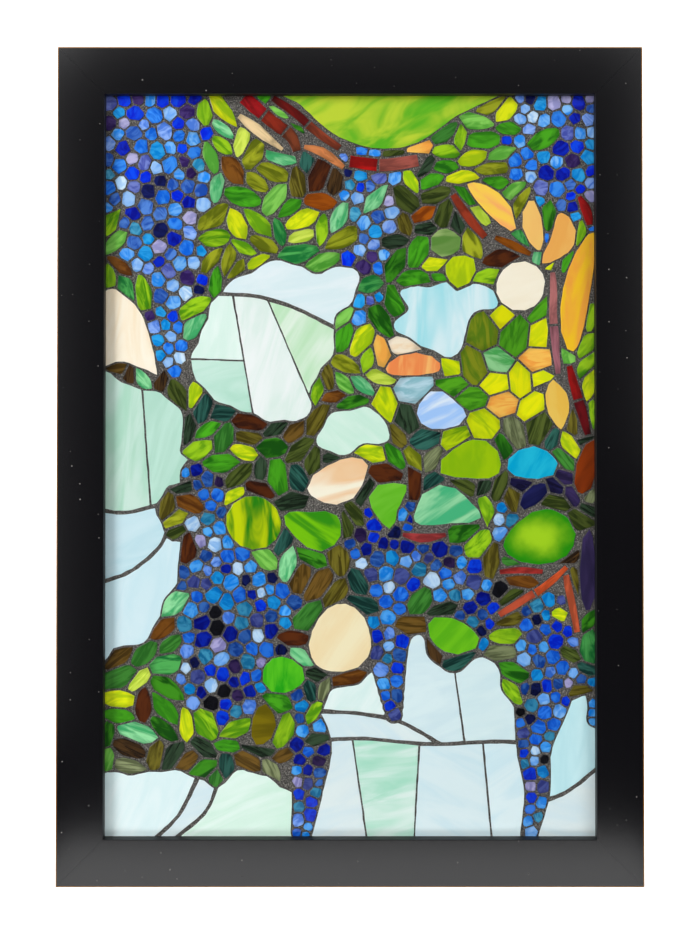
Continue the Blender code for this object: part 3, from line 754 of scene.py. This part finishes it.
def flat_plan(name, pieces, chance):
    """A flat mesh with one face for each piece, which carries its colours and the way its streaks run."""
    mesh = bpy.data.meshes.new(name)
    points = [(*place, 0.0) for piece in pieces for place in piece.outline]
    faces, start = [], 0
    for piece in pieces:
        faces.append(range(start, start + len(piece.outline)))
        start += len(piece.outline)
    mesh.from_pydata(points, [], faces)
    tone = chance.normal(1.0, TONE, len(pieces))
    for layer, column in (("sheet", 0), ("streak", 1)):
        colours = mesh.attributes.new(layer, "FLOAT_COLOR", "FACE")
        tinted = np.array([linear(piece.colours[column]) for piece in pieces])
        tinted[:, :3] = np.clip(tinted[:, :3] * tone[:, None], 0, 1)
        colours.data.foreach_set("color", tinted.astype(np.float32).ravel())
    for layer, column in (("middle", 0), ("along", 1), ("across", 2)):
        vectors = mesh.attributes.new(layer, "FLOAT_VECTOR", "FACE")
        values = np.array([oval(piece.outline)[column] for piece in pieces])
        vectors.data.foreach_set("vector", values.astype(np.float32).ravel())
    for layer, values in (
        ("turn", [piece.turn for piece in pieces]),
        ("contrast", [piece.contrast for piece in pieces]),
        ("shift", chance.uniform(0, 1, len(pieces))),
    ):
        numbers = mesh.attributes.new(layer, "FLOAT", "FACE")
        numbers.data.foreach_set("value", np.array(values, np.float32))
    return mesh


def tessera_tree():
    """Lifts each flat face to a piece of glass with a slightly uneven front, and stands it in its place."""
    tree = new_tree("cut glass", Float=("Thickness", "Uneven", "Tilt", "Left", "Bottom", "Back"),
                    Material=("Material",))
    given = add(tree, "NodeGroupInput").outputs
    middle = add(tree, "GeometryNodeInputPosition").outputs[0]
    number = add(tree, "GeometryNodeInputIndex").outputs[0]
    centred = add(tree, "GeometryNodeStoreNamedAttribute",
                  {"Geometry": given["Geometry"], "Name": "centre", "Value": middle},
                  data_type="FLOAT_VECTOR", domain="FACE").outputs[0]
    numbered = add(tree, "GeometryNodeStoreNamedAttribute",
                   {"Geometry": centred, "Name": "number", "Value": number},
                   data_type="INT", domain="FACE").outputs[0]
    lifted = add(tree, "GeometryNodeExtrudeMesh",
                 {"Mesh": numbered, "Offset Scale": given["Thickness"], "Individual": True}, mode="FACES")
    piece = add(tree, "GeometryNodeInputNamedAttribute", {"Name": "number"}, data_type="INT").outputs[0]
    dip = add(tree, "FunctionNodeRandomValue",
              {"ID": piece, "Seed": 3, 2: 0.0, 3: given["Uneven"]}, data_type="FLOAT").outputs[1]
    lean = add(tree, "FunctionNodeRandomValue",
               {"ID": piece, "Seed": 5, 0: (-1.0, -1.0, 0.0), 1: (1.0, 1.0, 0.0)},
               data_type="FLOAT_VECTOR").outputs[0]
    centre = add(tree, "GeometryNodeInputNamedAttribute", {"Name": "centre"},
                 data_type="FLOAT_VECTOR").outputs[0]
    offset = add(tree, "ShaderNodeVectorMath",
                 {0: add(tree, "GeometryNodeInputPosition").outputs[0], 1: centre},
                 operation="SUBTRACT").outputs[0]
    rise = add(tree, "ShaderNodeVectorMath", {0: offset, 1: lean}, operation="DOT_PRODUCT").outputs["Value"]
    tilted = add(tree, "ShaderNodeMath", {0: rise, 1: given["Tilt"]}, operation="MULTIPLY").outputs[0]
    kept = add(tree, "ShaderNodeMath", {0: tilted, 1: given["Uneven"]}, operation="MINIMUM").outputs[0]
    held = add(tree, "ShaderNodeMath",
               {0: kept, 1: add(tree, "ShaderNodeMath", {0: given["Uneven"], 1: -1.0},
                                operation="MULTIPLY").outputs[0]}, operation="MAXIMUM").outputs[0]
    low = add(tree, "ShaderNodeMath", {0: held, 1: dip}, operation="SUBTRACT").outputs[0]
    down = add(tree, "ShaderNodeMath", {0: low, 1: given["Uneven"]}, operation="SUBTRACT").outputs[0]
    worn = add(tree, "GeometryNodeSetPosition",
               {"Geometry": lifted.outputs["Mesh"], "Selection": lifted.outputs["Top"],
                "Offset": add(tree, "ShaderNodeCombineXYZ", {"Z": down}).outputs[0]}).outputs[0]
    edged = add(tree, "GeometryNodeStoreNamedAttribute",
                {"Geometry": worn, "Name": "bevel_weight_edge", "Value": 1.0,
                 "Selection": lifted.outputs["Top"]}, data_type="FLOAT", domain="EDGE").outputs[0]
    finish_tree(tree, given, edged, numbered)
    return tree


def joined(tree, *parts):
    """The parts as one geometry."""
    join = add(tree, "GeometryNodeJoinGeometry")
    for part in parts:
        tree.links.new(part, join.inputs[0])
    return join.outputs[0]


def finish_tree(tree, given, lifted, flat):
    """Closes the lifted work with its underside, stands it upright in the frame, realises it and gives it
    its material."""
    underside = add(tree, "GeometryNodeFlipFaces", {"Mesh": flat}).outputs[0]
    closed = add(tree, "GeometryNodeMergeByDistance",
                 {"Geometry": joined(tree, lifted, underside), "Distance": 1e-6}).outputs[0]
    place = add(tree, "ShaderNodeCombineXYZ",
                {"X": given["Left"], "Y": given["Back"], "Z": given["Bottom"]}).outputs[0]
    standing = add(tree, "GeometryNodeTransform",
                   {"Geometry": closed, "Translation": place,
                    "Rotation": (math.pi / 2, 0.0, 0.0)}).outputs[0]
    real = add(tree, "GeometryNodeRealizeInstances", {"Geometry": standing}).outputs[0]
    finished = add(tree, "GeometryNodeSetMaterial", {"Geometry": real, "Material": given["Material"]})
    tree.links.new(finished.outputs[0], add(tree, "NodeGroupOutput").inputs[0])


def grout_tree():
    """Fills what lies between the outlines of the pieces, out to the edge of the bed, and thickens it."""
    tree = new_tree("grout", Float=("Width", "Height", "Thickness", "Left", "Bottom", "Back"),
                    Vector=("Middle",), Material=("Material",))
    given = add(tree, "NodeGroupInput").outputs
    outlines = add(tree, "GeometryNodeMeshToCurve", {"Mesh": given["Geometry"]}).outputs[0]
    sheet = add(tree, "GeometryNodeCurvePrimitiveQuadrilateral",
                {"Width": given["Width"], "Height": given["Height"]}).outputs[0]
    border = add(tree, "GeometryNodeTransform",
                 {"Geometry": sheet, "Translation": given["Middle"]}).outputs[0]
    filled = add(tree, "GeometryNodeFillCurve", {"Curve": joined(tree, outlines, border)}).outputs[0]
    lifted = add(tree, "GeometryNodeExtrudeMesh",
                 {"Mesh": filled, "Offset Scale": given["Thickness"], "Individual": False}, mode="FACES")
    finish_tree(tree, given, lifted.outputs["Mesh"], filled)
    return tree


def place_values(material):
    """What both trees take: where the work stands, and its material."""
    return {"Left": SIGHT_LEFT, "Bottom": SIGHT_BOTTOM, "Back": TILE_BACK, "Material": material}


def add_glass(name, pieces, tree, material, chance):
    """Pieces of glass as one mesh, with a ground arris round each front."""
    values = {"Thickness": TILE_T, "Uneven": TILE_UNEVEN, "Tilt": TILE_TILT, **place_values(material)}
    mesh = grown_by(tree, flat_plan(name + "_plan", pieces, chance), name, values)
    piece = add_piece(name, mesh)
    arris = piece.modifiers.new("arris", "BEVEL")
    arris.width = TILE_ARRIS
    arris.segments = 2
    arris.limit_method = "WEIGHT"
    return piece


def add_grout(plans, material):
    """The grout between all the pieces, as one solid."""
    values = {"Width": BED_W, "Height": BED_H, "Middle": (SIGHT_W / 2, SIGHT_H / 2, 0.0),
              "Thickness": TILE_T - GROUT_LOW, **place_values(material)}
    mesh = grown_by(grout_tree(), plans, "grout", values)
    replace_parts(add_piece("grout", mesh), "grout_bed")


def add_rails(material):
    """The four rails as solids with tight mitres, their long arrises eased."""
    low, high = CAD_BOX
    profile = ((0.0, 0.0), (0.0, RAIL_W - REBATE_W), (REBATE_FRONT, RAIL_W - REBATE_W),
               (REBATE_FRONT, RAIL_W), (FRAME_FRONT, RAIL_W), (FRAME_FRONT, 0.0))
    width, height = high[0] - low[0], high[2] - low[2]
    middle = (low[2] + high[2]) / 2
    # The profile's corners to ease: the two outer ones and the two of the lip
    corners = (0, 3, 4, 5)
    points, faces, eased = [], [], []
    for number in range(4):
        angle = number * math.pi / 2
        length, reach = (width, height) if number % 2 == 0 else (height, width)
        first = len(points)
        for end in (-1, 1):
            for depth, across in profile:
                along = end * (length / 2 - across - MITRE_GAP / 2)
                out = reach / 2 - across
                points.append((along * math.cos(angle) + out * math.sin(angle), depth,
                               middle - along * math.sin(angle) + out * math.cos(angle)))
        count = len(profile)
        for side in range(count):
            after = (side + 1) % count
            faces.append((first + side, first + after, first + count + after, first + count + side))
        faces += [range(first, first + count), range(first + 2 * count - 1, first + count - 1, -1)]
        eased += [(first + corner, first + count + corner) for corner in corners]
    mesh = bpy.data.meshes.new("frame_rails")
    mesh.from_pydata(points, [], faces)
    solid = bmesh.new()
    solid.from_mesh(mesh)
    weight = solid.edges.layers.float.new("bevel_weight_edge")
    solid.verts.ensure_lookup_table()
    for start, end in eased:
        solid.edges.get((solid.verts[start], solid.verts[end]))[weight] = 1.0
    bmesh.ops.recalc_face_normals(solid, faces=solid.faces)
    solid.to_mesh(mesh)
    solid.free()
    mesh.materials.append(material)
    rails = add_piece("frame_rails", mesh)
    arris = rails.modifiers.new("eased arris", "BEVEL")
    arris.width = RAIL_ARRIS
    arris.segments = 3
    arris.limit_method = "WEIGHT"
    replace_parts(rails, "frame_top", "frame_bottom", "frame_left", "frame_right")


# Materials

# Sizes of their patterns: ripples in rolled glass, clouds in the shaded leaf, specks of dust, the grain of
# sprayed lacquer, clouds in the grout and its sand
RIPPLE = 0.004
SHADE_CLOUD = 0.018
DUST_SPACING = 0.009
SPRAY_GRAIN = 0.0012
GROUT_CLOUD = 0.020
SAND = 0.0013
GLASS_IOR = 1.52
LACQUER_IOR = 1.5


def streaked(tree, length, width, softness):
    """How much of the second colour shows, streaked along each piece: a share from 0 to 1."""
    place = add(tree, "ShaderNodeTexCoord").outputs["Object"]
    turn, shift, contrast = (add(tree, "ShaderNodeAttribute", attribute_name=name).outputs["Fac"]
                             for name in ("turn", "shift", "contrast"))
    turned = add(tree, "ShaderNodeVectorRotate", {"Vector": place, "Angle": turn},
                 rotation_type="Y_AXIS").outputs[0]
    # Each piece is cut from another place on its sheet, metres from the next.
    away = add(tree, "ShaderNodeVectorMath", {0: (1.7, 4.1, 2.9), "Scale": shift},
               operation="SCALE").outputs[0]
    moved = add(tree, "ShaderNodeVectorMath", {0: turned, 1: away}, operation="ADD").outputs[0]
    drawn = add(tree, "ShaderNodeMapping",
                {"Vector": moved, "Scale": (1 / length, 1.0, 1 / width)}).outputs[0]
    cloud = add(tree, "ShaderNodeTexNoise",
                {"Vector": drawn, "Scale": 1.0, "Detail": 3.0, "Roughness": 0.55,
                 "Distortion": 1.1}).outputs[0]
    share = add(tree, "ShaderNodeMapRange",
                {"Value": cloud, "From Min": 0.5 - softness, "From Max": 0.5 + softness},
                interpolation_type="SMOOTHSTEP").outputs[0]
    return add(tree, "ShaderNodeMath", {0: share, 1: contrast}, operation="MULTIPLY").outputs[0]


def shaded(tree):
    """How far a place on the shaded leaf lies from its bright middle: a share from 0 to 1."""
    low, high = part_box(SHADED_LEAF)
    half_w, half_h = 0.60 * (high.x - low.x), 0.60 * (high.z - low.z)
    place = add(tree, "ShaderNodeTexCoord").outputs["Object"]
    centred = add(tree, "ShaderNodeMapping", {
        "Vector": place, "Scale": (1 / half_w, 0.0, 1 / half_h),
        "Location": (-(low.x + high.x) / 2 / half_w, 0.0, -(low.z + high.z) / 2 / half_h)}).outputs[0]
    cloud = add(tree, "ShaderNodeTexNoise",
                {"Vector": place, "Scale": 1 / SHADE_CLOUD, "Detail": 3.0}).outputs[1]
    off = add(tree, "ShaderNodeVectorMath", {0: cloud, 1: (0.5, 0.5, 0.5)},
              operation="SUBTRACT").outputs[0]
    bent = add(tree, "ShaderNodeVectorMath", {0: off, 1: (0.45, 0.0, 0.45), 2: centred},
               operation="MULTIPLY_ADD").outputs[0]
    away = add(tree, "ShaderNodeVectorMath", {0: bent}, operation="LENGTH").outputs["Value"]
    return add(tree, "ShaderNodeMapRange", {"Value": away, "From Min": 0.15, "From Max": 0.85},
               interpolation_type="SMOOTHSTEP").outputs[0]


def rimmed(tree, place, colour):
    """The colour, darker towards the rim of a small piece, where less light comes back through the glass."""
    middle, along, across = (add(tree, "ShaderNodeAttribute", attribute_name=name).outputs["Vector"]
                             for name in ("middle", "along", "across"))
    offset = add(tree, "ShaderNodeVectorMath", {0: place, 1: middle}, operation="SUBTRACT").outputs[0]
    shares = [add(tree, "ShaderNodeVectorMath", {0: offset, 1: axis},
                  operation="DOT_PRODUCT").outputs["Value"] for axis in (along, across)]
    pair = add(tree, "ShaderNodeCombineXYZ", {"X": shares[0], "Y": shares[1]}).outputs[0]
    out = add(tree, "ShaderNodeVectorMath", {0: pair}, operation="LENGTH").outputs["Value"]
    rim = add(tree, "ShaderNodeMapRange",
              {"Value": out, "From Min": 0.62, "From Max": 1.02, "To Max": RIM_SHADE},
              interpolation_type="SMOOTHSTEP").outputs[0]
    return add(tree, "ShaderNodeMix", {"Factor": rim, 6: colour, 7: linear("0a0a10")},
               data_type="RGBA").outputs[2]


def art_glass(name, roughness, length=0.0, width=0.0, softness=0.0, small=False):
    """Art glass in two colours, drawn out in streaks as it was rolled, or else shaded from its middle
    outwards. Its face is glossy and faintly rippled and its arris is ground dull. A painted shade darkens
    its arris and sides, which face away from the front, to a dark contour round the piece."""
    material, tree, shader = shader_of(name)
    share = streaked(tree, length, width, softness) if length else shaded(tree)
    sheet, streak = (add(tree, "ShaderNodeAttribute", attribute_name=name).outputs["Color"]
                     for name in ("sheet", "streak"))
    colour = add(tree, "ShaderNodeMix", {"Factor": share, 6: sheet, 7: streak}, data_type="RGBA").outputs[2]
    place = add(tree, "ShaderNodeTexCoord").outputs["Object"]
    colour = rimmed(tree, place, colour) if small else colour
    normal = add(tree, "ShaderNodeTexCoord").outputs["Normal"]
    flat = add(tree, "ShaderNodeMath", {0: add(tree, "ShaderNodeSeparateXYZ", {0: normal}).outputs["Y"]},
               operation="ABSOLUTE").outputs[0]
    # Painted shade: the arris and sides, turned away from the front, are darkened to a dark contour.
    contour_shade = add(tree, "ShaderNodeMapRange", {"Value": flat, "From Min": 0.86, "From Max": 0.60}).outputs[0]
    contour_shaded = add(tree, "ShaderNodeMix", {"Factor": contour_shade, 6: colour, 7: linear("2a2826")},
                  data_type="RGBA").outputs[2]
    tree.links.new(contour_shaded, shader.inputs["Base Color"])
    ground = add(tree, "ShaderNodeMapRange", {"Value": flat, "From Min": 0.98, "From Max": 0.84,
                                              "To Min": roughness, "To Max": 0.7}).outputs[0]
    tree.links.new(ground, shader.inputs["Roughness"])
    ripple = add(tree, "ShaderNodeTexNoise",
                 {"Vector": place, "Scale": 1 / RIPPLE, "Detail": 2.0}).outputs[0]
    bump = add(tree, "ShaderNodeBump", {"Height": ripple, "Strength": 0.25, "Distance": 0.0002}).outputs[0]
    tree.links.new(bump, shader.inputs["Normal"])
    shader.inputs["IOR"].default_value = GLASS_IOR
    return material


def black_lacquered_wood():
    """Wood sprayed with black satin lacquer, duller on its sides, with a little dust on it. Along the outer
    arris the lacquer is rubbed through to the brown wood."""
    material, tree, shader = shader_of("black_satin_lacquer_on_wood")
    low, high = CAD_BOX
    place = add(tree, "ShaderNodeTexCoord").outputs["Object"]
    centred = add(tree, "ShaderNodeVectorMath", {0: place, 1: (0.0, 0.0, -(low[2] + high[2]) / 2)},
                  operation="ADD").outputs[0]
    sides = add(tree, "ShaderNodeVectorMath", {0: centred}, operation="ABSOLUTE").outputs[0]
    over = add(tree, "ShaderNodeVectorMath", {0: sides, 1: (high[0], 0.0, (high[2] - low[2]) / 2)},
               operation="SUBTRACT").outputs[0]
    split = add(tree, "ShaderNodeSeparateXYZ", {0: over}).outputs
    nearest = add(tree, "ShaderNodeMath", {0: split["X"], 1: split["Z"]}, operation="MAXIMUM").outputs[0]
    edge = add(tree, "ShaderNodeMapRange",
               {"Value": nearest, "From Min": -0.0015, "From Max": -0.0008}).outputs[0]
    depth = add(tree, "ShaderNodeSeparateXYZ", {0: place}).outputs["Y"]
    front = add(tree, "ShaderNodeMapRange", {"Value": depth, "From Min": FRAME_FRONT + 0.0016,
                                             "From Max": FRAME_FRONT + 0.0010}).outputs[0]
    rubbed = add(tree, "ShaderNodeMath", {0: edge, 1: front}, operation="MULTIPLY").outputs[0]
    specks = add(tree, "ShaderNodeTexVoronoi", {"Vector": place, "Scale": 1 / DUST_SPACING},
                 feature="F1")
    lots = add(tree, "ShaderNodeSeparateColor", {"Color": specks.outputs["Color"]}).outputs
    reach = add(tree, "ShaderNodeMapRange", {"Value": lots[1], "To Min": 0.05, "To Max": 0.13}).outputs[0]
    dot = add(tree, "ShaderNodeMapRange", {"Value": specks.outputs["Distance"], "From Min": 0.02,
                                           "From Max": reach, "To Min": 1.0, "To Max": 0.0}).outputs[0]
    rare = add(tree, "ShaderNodeMath", {0: lots[0], 1: 0.72}, operation="GREATER_THAN").outputs[0]
    fallen = add(tree, "ShaderNodeMath", {0: dot, 1: rare}, operation="MULTIPLY").outputs[0]
    dust = add(tree, "ShaderNodeMath", {0: fallen, 1: lots[2]}, operation="MULTIPLY").outputs[0]
    dusty = add(tree, "ShaderNodeMix", {"Factor": dust, 6: linear("0b0a0d"), 7: linear("b4b0aa")},
                data_type="RGBA").outputs[2]
    colour = add(tree, "ShaderNodeMix", {"Factor": rubbed, 6: dusty, 7: linear("a5763e")},
                 data_type="RGBA").outputs[2]
    tree.links.new(colour, shader.inputs["Base Color"])
    spray = add(tree, "ShaderNodeTexNoise", {"Vector": place, "Scale": 1 / SPRAY_GRAIN,
                                             "Detail": 3.0}).outputs[0]
    bump = add(tree, "ShaderNodeBump", {"Height": spray, "Strength": 0.10, "Distance": 0.0001}).outputs[0]
    tree.links.new(bump, shader.inputs["Normal"])
    faced = add(tree, "ShaderNodeSeparateXYZ",
                {0: add(tree, "ShaderNodeTexCoord").outputs["Normal"]}).outputs["Y"]
    dull = add(tree, "ShaderNodeMapRange", {"Value": faced, "From Min": -0.9, "From Max": -0.4,
                                            "To Min": 0.155, "To Max": 0.55}).outputs[0]
    tree.links.new(dull, shader.inputs["Roughness"])
    shader.inputs["IOR"].default_value = LACQUER_IOR
    return material


def cement_grout():
    """Sanded cement grout, sponged off: a matt, cloudy grey with pale and dark grains, drawn coarser than
    real sand so that they show."""
    material, tree, shader = shader_of("sanded_cement_grout")
    place = add(tree, "ShaderNodeTexCoord").outputs["Object"]
    cloud = add(tree, "ShaderNodeTexNoise", {"Vector": place, "Scale": 1 / GROUT_CLOUD,
                                             "Detail": 3.0}).outputs[0]
    ground = add(tree, "ShaderNodeMix", {"Factor": cloud, 6: linear("3a3835"), 7: linear("5a5753")},
                 data_type="RGBA").outputs[2]
    sand = add(tree, "ShaderNodeTexNoise", {"Vector": place, "Scale": 1 / SAND, "Detail": 2.0,
                                            "Roughness": 0.7}).outputs[0]
    pale = add(tree, "ShaderNodeMapRange", {"Value": sand, "From Min": 0.54, "From Max": 0.66}).outputs[0]
    dark = add(tree, "ShaderNodeMapRange", {"Value": sand, "From Min": 0.46, "From Max": 0.34}).outputs[0]
    lit = add(tree, "ShaderNodeMix", {"Factor": pale, 6: ground, 7: linear("8e8a83")},
              data_type="RGBA").outputs[2]
    grained = add(tree, "ShaderNodeMix", {"Factor": dark, 6: lit, 7: linear("121110")},
                  data_type="RGBA").outputs[2]
    tree.links.new(grained, shader.inputs["Base Color"])
    bump = add(tree, "ShaderNodeBump", {"Height": sand, "Strength": 0.5, "Distance": 0.0003}).outputs[0]
    tree.links.new(bump, shader.inputs["Normal"])
    shader.inputs["Roughness"].default_value = 0.92
    return material


def clear_float_glass():
    """The float glass sheet that carries the mosaic: clear, smooth, with a green cast."""
    material, _, shader = shader_of("clear_float_glass")
    shader.inputs["Base Color"].default_value = linear("e6f2ec")
    shader.inputs["Transmission Weight"].default_value = 1.0
    shader.inputs["Roughness"].default_value = 0.0
    shader.inputs["IOR"].default_value = GLASS_IOR
    return material


# Stage: sizes in metres, power in watts

FLOOR_DROP = 0.20
# The card lies on the floor before the panel, and its lower rail mirrors it.
CARD_NEAR, CARD_FAR, CARD_HALF_WIDTH = -0.69, -0.30, 0.44
SWEEP_NEAR, SWEEP_FLAT, SWEEP_BEND, SWEEP_TOP, SWEEP_HALF_WIDTH = 0.08, 2.4, 0.5, 3.0, 4.0
BEHIND = (0.0, 1.3, -0.6)
# Each light's place, width, height and power. The thin ones are there for the lacquer to mirror.
LIGHTS = {
    "key": ((-1.90, -1.60, 0.20), 1.0, 1.0, 46.5),
    "fill": ((1.9, -1.6, 0.2), 1.4, 1.4, 25),
    "front": ((0.0, -1.80, 1.20), 1.2, 0.5, 9.5),
    "left_strip": ((-0.735, -1.60, -0.29), 0.10, 1.7, 0.55),
    "right_strip": ((0.735, -1.60, 0.06), 0.10, 1.2, 0.42),
    "top_strip": ((0.0, -1.60, 0.50), 1.4, 0.10, 0.5),
    "left_corner": ((-0.74, -1.60, 0.54), 0.24, 0.24, 0.4),
    "right_corner": ((0.76, -1.60, 0.56), 0.24, 0.24, 0.2),
    "sweep_light": ((0.0, 0.7, 2.0), 1.5, 1.5, 30),
}
CAMERA_REACH = 1.27
CAMERA_RAISED = 0.10
CAMERA_TILT = math.radians(0.65)
CAMERA_LENS, CAMERA_SENSOR = 48.70, 36.0
CAMERA_LOWER = 0.001


def add_paper(name, profile, half_width, material):
    """White paper drawn out sideways from its profile, a list of (y, z) places."""
    points = [(side * half_width, y, z) for y, z in profile for side in (-1, 1)]
    faces = [(2 * step, 2 * step + 1, 2 * step + 3, 2 * step + 2) for step in range(len(profile) - 1)]
    mesh = bpy.data.meshes.new(name)
    mesh.from_pydata(points, [], faces)
    mesh.materials.append(material)
    paper = in_scene(name, mesh)
    return paper


def white_paper():
    """Matt white paper that also glows, so that it stays white behind the panel."""
    material, _, shader = shader_of("white_paper")
    shader.inputs["Base Color"].default_value = (0.9, 0.9, 0.9, 1.0)
    shader.inputs["Roughness"].default_value = 0.9
    shader.inputs["Emission Color"].default_value = (1.0, 1.0, 1.0, 1.0)
    shader.inputs["Emission Strength"].default_value = 1.15
    return material


def add_floor():
    """A white card before the panel, and a pale floor that sweeps up behind it."""
    floor_z = CAD_BOX[0][2] - FLOOR_DROP
    material = white_paper()
    add_paper("card", [(CARD_NEAR, floor_z), (CARD_FAR, floor_z)], CARD_HALF_WIDTH, material)
    bend = [(SWEEP_FLAT + SWEEP_BEND * math.sin(angle), SWEEP_BEND - SWEEP_BEND * math.cos(angle))
            for angle in np.linspace(0.0, math.pi / 2, 13)]
    profile = [(SWEEP_NEAR, 0.0), *bend, (SWEEP_FLAT + SWEEP_BEND, SWEEP_TOP)]
    sweep = add_paper("sweep", [(y, z + floor_z) for y, z in profile], SWEEP_HALF_WIDTH, material)
    # The glass sheet mirrors the dim room instead, so the mosaic shows through it.
    sweep.visible_glossy = False


def add_lights(centre):
    """Soft lights turned to the panel, and one turned to the sweep behind it."""
    for name, (place, width, height, power) in LIGHTS.items():
        data = bpy.data.lights.new(name, "AREA")
        data.shape = "RECTANGLE"
        data.size = width
        data.size_y = height
        data.energy = power
        light = in_scene(name, data)
        light.visible_camera = False
        light.location = place
        light.rotation_euler = turned_to(place, BEHIND if name == "sweep_light" else centre)


def turned_to(place, aim):
    """The turn that makes a light at this place face the aim."""
    way = np.array(aim) - np.array(place)
    return (math.atan2(math.hypot(way[0], way[1]), -way[2]), 0.0, math.atan2(way[1], way[0]) - math.pi / 2)


def add_room():
    """A pale room to look at. What mirrors or lights the panel is dimmer, most of all before it."""
    world = bpy.data.worlds.new("studio")
    world.use_nodes = True
    tree = world.node_tree
    ahead = add(tree, "ShaderNodeSeparateXYZ", {0: add(tree, "ShaderNodeTexCoord").outputs["Generated"]})
    walls = add(tree, "ShaderNodeMapRange", {"Value": ahead.outputs["Y"], "From Min": -0.4, "From Max": 0.05,
                                             "To Min": 0.05, "To Max": 0.35}).outputs[0]
    dim = tree.nodes["Background"]
    dim.inputs["Color"].default_value = (0.9, 0.93, 1.0, 1.0)
    tree.links.new(walls, dim.inputs["Strength"])
    pale = add(tree, "ShaderNodeBackground", {"Color": (1.0, 1.0, 1.0, 1.0), "Strength": 1.0})
    seen = add(tree, "ShaderNodeLightPath").outputs["Is Camera Ray"]
    room = add(tree, "ShaderNodeMixShader", {0: seen, 1: dim.outputs[0], 2: pale.outputs[0]})
    tree.links.new(room.outputs[0], tree.nodes["World Output"].inputs["Surface"])
    bpy.context.scene.world = world


def add_camera(centre):
    """The camera, square on and a little above the middle, with its shift bringing the panel back to the
    middle of the picture."""
    data = bpy.data.cameras.new("camera")
    data.sensor_width = CAMERA_SENSOR
    data.lens = CAMERA_LENS
    drop = math.atan2(CAMERA_RAISED, CAMERA_REACH) + CAMERA_TILT
    data.shift_y = -math.tan(drop) * data.lens / data.sensor_width - CAMERA_LOWER
    camera = in_scene("camera", data)
    camera.location = (0.0, CAD_BOX[0][1] - CAMERA_REACH, centre[2] + CAMERA_RAISED)
    camera.rotation_euler = (math.pi / 2 + CAMERA_TILT, 0.0, 0.0)
    bpy.context.scene.camera = camera
    bpy.context.scene.view_settings.view_transform = "Standard"


def large_glass(name, outline, chance):
    """A large piece, cut by hand to its outline, in its own glass."""
    if name in LARGE_GLASS:
        sheet, streak, turn, contrast = LARGE_GLASS[name]
    else:
        glasses = next(SKY_GLASS[start] for start in SKY_GLASS if name.startswith(start))
        sheet, streak = glasses[chance.integers(len(glasses))]
        turn, contrast = chance.uniform(0, 180), SKY_CONTRAST
    return Glass(hand_cut(outline, chance), (sheet, streak), math.radians(turn), contrast)


def main():
    centre = (np.array(CAD_BOX[0]) + np.array(CAD_BOX[1])) / 2
    add_floor()
    add_lights(centre)
    add_room()
    add_camera(centre)

    chance = np.random.default_rng(RANDOM_SEED)
    # Each glass: its roughness, the length and width of its streaks, and how softly their edges fade
    finishes = {
        "sky": art_glass("wispy_opal_sheet_glass", 0.20, 0.120, 0.024, 0.18),
        "hill": art_glass("mottled_sheet_glass", 0.13, 0.075, 0.026, 0.18),
        "shaded": art_glass("shaded_sheet_glass", 0.14),
    }
    finishes["cream"] = finishes["sky"]
    broad = art_glass("broad_streaked_sheet_glass", 0.14, 0.100, 0.0200, 0.13)
    nipped = art_glass("nipped_opalescent_glass", 0.16, 0.016, 0.008, 0.13, small=True)
    streaky = art_glass("streaky_rolled_glass", 0.16, 0.034, 0.0090, 0.13, small=True)
    striped = art_glass("striped_rolled_glass", 0.16, 0.040, 0.0044, 0.12, small=True)

    large = {name: cad_outline(name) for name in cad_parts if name.split("_")[0] in LARGE_FAMILIES}
    strips = vine_strips(chance)
    laid = lay_small_pieces([*large.values(), *[strip.outline for strip in strips]], chance)
    families = {}
    for name, outline in large.items():
        family = "shaded" if name == SHADED_LEAF else name.split("_")[0]
        families.setdefault(family, {})[name] = large_glass(name, outline, chance)

    tree = tessera_tree()
    every = []
    for family, pieces in families.items():
        slot = "leaf_glass" if family == "shaded" else f"{family}_glass"
        piece = add_glass(f"{family}_pieces", list(pieces.values()), tree, finishes.get(family, broad),
                          chance)
        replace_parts(piece, *pieces)
        every += pieces.values()
    for name, pieces, finish, slot in (
        ("grape_tesserae", laid["grape"], nipped, "blue_glass"),
        ("leaf_tesserae", laid["leaf"], streaky, "leaf_glass"),
        ("olive_tesserae", laid["olive"], striped, "leaf_glass"),
        ("vine_strips", strips, streaky, "rust_glass"),
    ):
        add_glass(name, pieces, tree, finish, chance)
        every += pieces
    add_grout(flat_plan("grout_plan", every, chance), cement_grout())
    add_rails(black_lacquered_wood())
    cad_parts["glass_sheet"].material_slots[0].material = clear_float_glass()


main()
